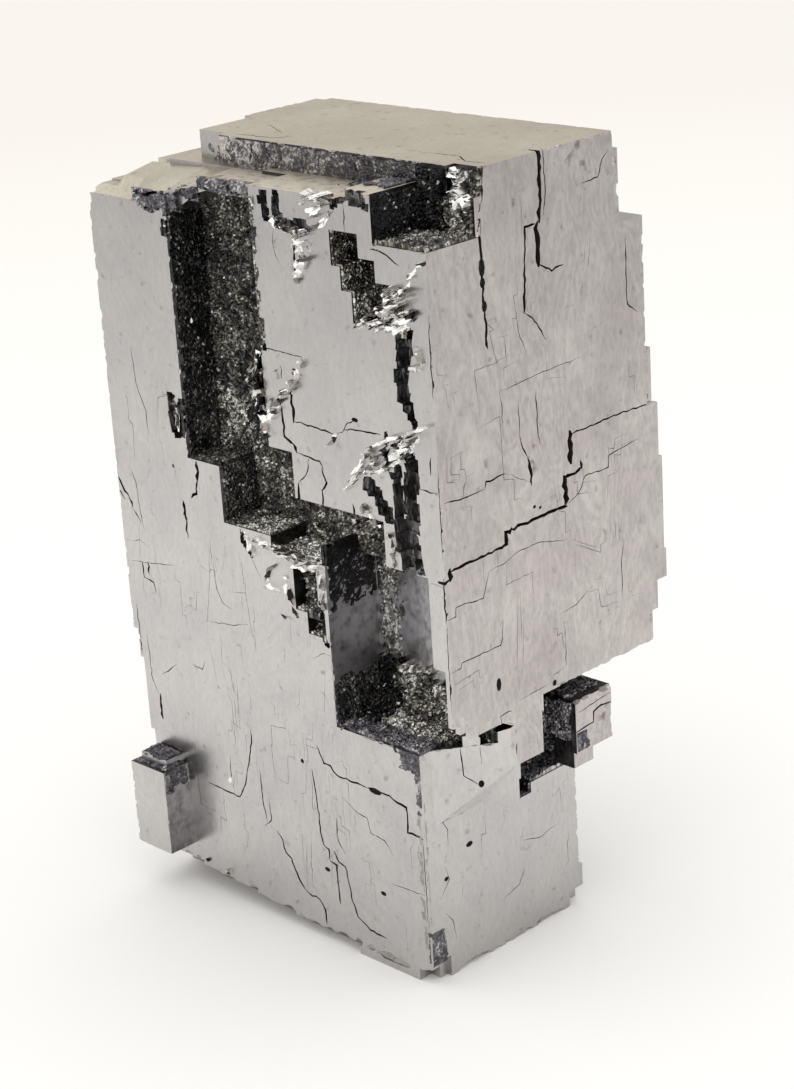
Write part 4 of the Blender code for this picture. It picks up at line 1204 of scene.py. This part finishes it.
# Strips of each torn piece: a face, lift, crumple, painted gleam and root, then (u, v, half width) along the
# spine
TORN = {
    "torn_flap": (
        (LEFT_FACE, 0.1, 0.7, 0.1, -0.5, (-16.8, 61.7, 0.2), (-17.3, 60.5, 0.45), (-18.4, 58.7, 0.6),
         (-20.1, 57.5, 0.55)),
        (LEFT_FACE, 0.1, 0.6, 0, -0.5, (-19.7, 57.7, 0.5), (-21.3, 55.9, 0.6), (-22, 54.7, 0.4)),
        (LEFT_FACE, -0.1, 0.7, 0, -2, (-23.2, 61.4, 0.3), (-23.6, 59.5, 0.75), (-23.5, 57.5, 0.85)),
        (LEFT_FACE, -0.1, 0.7, 0, -2, (-23.4, 57.8, 0.8), (-23, 55, 0.65), (-22.5, 52.8, 0.35)),
        (LEFT_FACE, 0, 0.5, 0.2, -0.5, (-22, 57.6, 0.3), (-21.4, 56.6, 0.35), (-21.9, 55.4, 0.25)),
        (LEFT_FACE, 0, 0.4, 0, -0.5, (-20.9, 60.4, 0.2), (-20.4, 58.8, 0.3)),
        (TALL_BACK, 0.3, 0.4, 0, -0.5, (-28.3, 58.6, 0.2), (-29.8, 57.3, 0.3), (-31.3, 56.1, 0.2)),
        (TALL_BACK, 0.3, 0.4, 0, -0.5, (-28.3, 55.1, 0.2), (-29.8, 53.9, 0.3), (-31.3, 52.9, 0.2)),
        (LEFT_FACE, 0, 0.4, 0.3, -0.5, (-36.1, 54.7, 0.15), (-36, 52.6, 0.22), (-36.2, 51, 0.15)),
    ),
    "torn_top": (
        (LEFT_FACE, 0.1, 0.8, 0.3, -0.5, (-15.7, 74.1, 0.6), (-15.4, 72.6, 0.9), (-15.5, 71.2, 0.8),
         (-16.5, 69.7, 0.5), (-16.2, 68.5, 0.3)),
        (LEFT_FACE, 0.1, 0.8, 0.35, -0.5, (-15.3, 77.2, 0.5), (-13.5, 77.1, 0.8), (-11.6, 77.3, 0.5)),
        (LEFT_FACE, 0.1, 0.7, 0.35, -0.5, (-12.2, 77, 0.4), (-13.2, 76.2, 0.65), (-14.5, 75.8, 0.4)),
        (LEFT_FACE, 0, 0.5, 0.1, -0.5, (-20, 74.9, 0.25), (-18.3, 74.1, 0.35), (-16.8, 73.8, 0.4)),
        (LEFT_FACE, 0, 0.5, 0, -0.5, (-15, 74, 0.3), (-12.9, 74.9, 0.35), (-11.5, 76.2, 0.3)),
    ),
    "torn_corner": (
        (LEFT_FACE, 0.1, 1.1, 0.22, -3.6, (-8.8, 65.9, 0.3), (-6.8, 66.9, 0.8), (-4.7, 67.9, 1.25),
         (-3, 69.1, 1), (-1.9, 70.3, 0.5)),
        (LEFT_FACE, 0, 0.9, 0.15, -3.6, (-6.4, 66, 0.4), (-4.2, 66.8, 0.8), (-2.6, 67.7, 0.9),
         (-1.4, 68.7, 0.4)),
        (LEFT_FACE, 0, 0.8, 0.3, -3.6, (-5.6, 69.2, 0.25), (-4.4, 70, 0.4), (-2.8, 69.8, 0.4)),
        (LEFT_FACE, 0, 0.6, 0.2, -0.5, (-3.2, 69.4, 0.4), (-2.3, 70.8, 0.45), (-1.2, 72.1, 0.35),
         (-0.2, 73, 0.2)),
        (LEFT_FACE, 0, 0.6, 0.35, -0.5, (-2.4, 64.9, 0.25), (-1.5, 64.6, 0.35), (-1.1, 63.7, 0.35),
         (-1.7, 62.9, 0.3)),
        (LEFT_FACE, 0, 0.6, 0.35, -0.5, (-1.7, 63, 0.3), (-2.4, 63.2, 0.25)),
    ),
    "torn_notch": (
        (NOTCH_BACK, -0.7, 0.7, 0.25, -1.6, (-3.1, 79.4, 0.35), (-2, 78.9, 0.75), (-1, 79.4, 0.4)),
        (NOTCH_BACK, 0.3, 0.6, 0.25, -0.5, (-2.6, 78.3, 0.4), (-1.3, 77.2, 0.85), (-0.4, 76.1, 0.45)),
        (NOTCH_BACK, 0.3, 0.4, 0.2, -0.5, (-4.6, 77.4, 0.2), (-4.1, 76.6, 0.25)),
        (NOTCH_BACK, 0.3, 0.4, 0, -0.5, (-2.6, 76.4, 0.2), (-1.6, 75.7, 0.3)),
    ),
    "torn_bundle": (
        (LEFT_FACE, 0, 0.7, 0.1, -0.5, (-9.9, 51.5, 0.35), (-8, 53.2, 0.9), (-6, 54.4, 1.05),
         (-4, 55.3, 0.95), (-2.2, 56.4, 0.5)),
        (LEFT_FACE, 0.4, 0.6, 0.35, -0.5, (-12, 49.7, 0.15), (-10.4, 51.4, 0.25), (-9.3, 53.2, 0.3),
         (-7.9, 54.8, 0.35), (-5.9, 55.8, 0.35), (-3.3, 56.7, 0.35), (-0.2, 58.2, 0.25)),
        (LEFT_FACE, 0.3, 0.6, 0.3, -0.5, (-9.4, 51.8, 0.2), (-7.1, 52.5, 0.3), (-4.9, 53.8, 0.35),
         (-3, 55.2, 0.3), (-1.2, 57.2, 0.2)),
        (LEFT_FACE, 0, 0.4, 0, -0.5, (-12.8, 55.2, 0.2), (-13.4, 54.3, 0.25), (-14.4, 53.4, 0.15)),
        (LEFT_FACE, 0, 0.5, 0.25, -0.5, (-6.6, 46.9, 0.3), (-6.2, 45, 0.4), (-6.6, 43, 0.35)),
        (LEFT_FACE, 0, 0.5, 0.2, -0.5, (-10.2, 48.6, 0.3), (-9, 47.6, 0.4), (-8.2, 46.6, 0.3)),
    ),
    "torn_stair": (
        (LEFT_FACE, 0, 0.5, 0.1, -0.5, (-27.6, 42.4, 0.25), (-26.6, 41, 0.35), (-25.8, 39.7, 0.25)),
        (LEFT_FACE, 0, 0.5, 0.25, -0.5, (-26.4, 42, 0.3), (-24.4, 41.6, 0.4), (-22.4, 41.3, 0.4)),
        (LEFT_FACE, 0, 0.6, 0.3, -0.5, (-22.6, 41.3, 0.4), (-20.4, 40.9, 0.5), (-18.4, 40.6, 0.55),
         (-16.4, 40.8, 0.5)),
        (LEFT_FACE, 0, 0.5, 0.3, -0.5, (-16.5, 40.8, 0.4), (-16.5, 38.4, 0.45), (-16.3, 36, 0.35)),
        (LEFT_FACE, 0, 0.5, 0.2, -0.5, (-22.9, 39.8, 0.2), (-24.1, 38.9, 0.35), (-24.4, 37.7, 0.4),
         (-23.2, 36.9, 0.3), (-22.1, 36.5, 0.15)),
        (LEFT_FACE, 0, 0.4, 0, -0.5, (-21.7, 38.9, 0.35), (-21.4, 37.2, 0.4), (-20.9, 35.6, 0.4),
         (-20.4, 34.4, 0.25)),
        (LEFT_FACE, 0, 0.35, 0, -0.5, (-23.4, 35, 0.15), (-22.4, 34.3, 0.25), (-21, 34.2, 0.25)),
    ),
    "torn_back": (
        (BACK_FACE, 0, 0.6, 0.2, -0.5, (38.4, 62, 0.3), (38.9, 60.4, 0.5), (38.3, 58.8, 0.3)),
        (BACK_FACE, 0, 0.6, 0.25, -0.5, (31, 65.9, 0.3), (33, 65.6, 0.5), (36, 65.8, 0.5),
         (38.5, 65.6, 0.25)),
        (BACK_FACE, 0, 0.5, 0.2, -0.5, (9.6, 66, 0.25), (10.6, 64, 0.45), (10.4, 62, 0.3)),
    ),
    "torn_specks": (
        (LEFT_FACE, 0, 0.3, 0, -0.5, (-38.2, 2.6, 0.15), (-37.6, 2.4, 0.25)),
        (LEFT_FACE, 0, 0.5, 0, -0.5, (-35, 2.2, 0.3), (-34.2, 2.3, 0.6), (-33.3, 2.2, 0.4)),
        (LEFT_FACE, 0, 0.25, 0, -0.5, (-33, 14.4, 0.15), (-32.9, 12.7, 0.18)),
        (LEFT_FACE, 0, 0.2, 0, -0.5, (-11.8, 13.8, 0.15), (-11.2, 13.6, 0.15)),
        (TALL_SIDE, 0.05, 0.25, 0, -0.5, (2, 62.9, 0.12), (2, 61.7, 0.2)),
        (TALL_SIDE, 0.05, 0.25, 0, -0.5, (3.1, 61.2, 0.18), (3.1, 59.9, 0.12)),
        (TALL_SIDE, 0.05, 0.25, 0, -0.5, (1.4, 60.3, 0.12), (1.4, 59.5, 0.16)),
        (TALL_SIDE, 0.05, 0.25, 0, -0.5, (2.2, 59.3, 0.2), (2.2, 58, 0.12)),
        (TALL_SIDE, 0.05, 0.25, 0, -0.5, (1.7, 55.5, 0.12), (1.7, 54.4, 0.16)),
        (TALL_SIDE, 0.05, 0.25, 0, -0.5, (2, 53.3, 0.16), (2, 52.3, 0.12)),
        (FOOT_FACE, 0, 0.3, 0, -0.5, (5, 22.4, 0.2), (6.4, 22.8, 0.25)),
    ),
}
for name, strips in TORN.items():
    sheets = []
    for order, (face, lift, crumple, painted_gleam, root, *spine) in enumerate(strips):
        sheets.append(torn_strip(face, lift, crumple, painted_gleam, root, spine, seed=11 * order + len(name)))
    joined(name, sheets, TORN_TONES, TORN_PAINTED_LIGHT_SHADES, torn)

# --- Studio -----------------------------------------------------------------------------------------
# A wide pale floor under an even white light tent. The camera stands above the crystal's top and looks
# down at its front edge, so that the left front, the right side and the top all show.
bpy.ops.mesh.primitive_plane_add(size=20.0, location=(0, 0, 0))
floor = bpy.context.object
floor.name = "floor"
# Common name: white card, matt, painted darker and warmer where it runs back as a painted falloff of the
# tent's light
card, card_tree, card_shader = new_material("white_card_painted_falloff", Roughness=0.9, Specular_IOR_Level=0.2)
place = add(card_tree, "TexCoord", {}).outputs["Object"]
away = {"operation": "DOT_PRODUCT", 1: (-0.7, 0.7, 0.0)}
away = add(card_tree, "VectorMath", away, {0: place}).outputs["Value"]
away = add(card_tree, "MapRange", {"From Min": -0.05, "From Max": 0.45}, {"Value": away}).outputs[0]
# Painted shade: the card darkens and warms with distance, standing in for the tent's light falling off
painted_falloff_tint = {"data_type": "RGBA", 6: linear("#fdfdfc"), 7: linear("#ece9e5")}
painted_falloff_tint = add(card_tree, "Mix", painted_falloff_tint, {0: away}).outputs[2]
card_tree.links.new(card_shader.inputs["Base Color"], painted_falloff_tint)
floor.data.materials.append(card)
floor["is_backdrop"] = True

world = bpy.data.worlds.new("light_tent")
world.use_nodes = True
sky = world.node_tree
direction = add(sky, "TexCoord", {}).outputs["Generated"]
height = add(sky, "SeparateXYZ", {}, {"Vector": direction}).outputs["Z"]
TENT_FOOT, TENT_TOP = 0.45, 1.58
tent = {"data_type": "RGBA", 6: linear("#ebe6dc"), 7: linear("#ffffff")}
tent = add(sky, "Mix", tent, {0: height})
strength = add(sky, "MapRange", {"To Min": TENT_FOOT, "To Max": TENT_TOP}, {"Value": height})
sky.links.new(sky.nodes["Background"].inputs["Color"], tent.outputs[2])
sky.links.new(sky.nodes["Background"].inputs["Strength"], strength.outputs[0])
bpy.context.scene.world = world
bpy.context.scene.view_settings.view_transform = "Standard"

camera_data = bpy.data.cameras.new("camera")
camera_data.lens = 81.49
camera_data.sensor_width = 36.0
camera_data.clip_start = 0.01
camera = bpy.data.objects.new("camera", camera_data)
camera.location = (0.17038596, -0.16385538, 0.12531008)
camera.rotation_euler = Euler(np.radians((69.691, 3.489, 44.37)), "XYZ")
bpy.context.scene.collection.objects.link(camera)
bpy.context.scene.camera = camera

low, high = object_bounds()
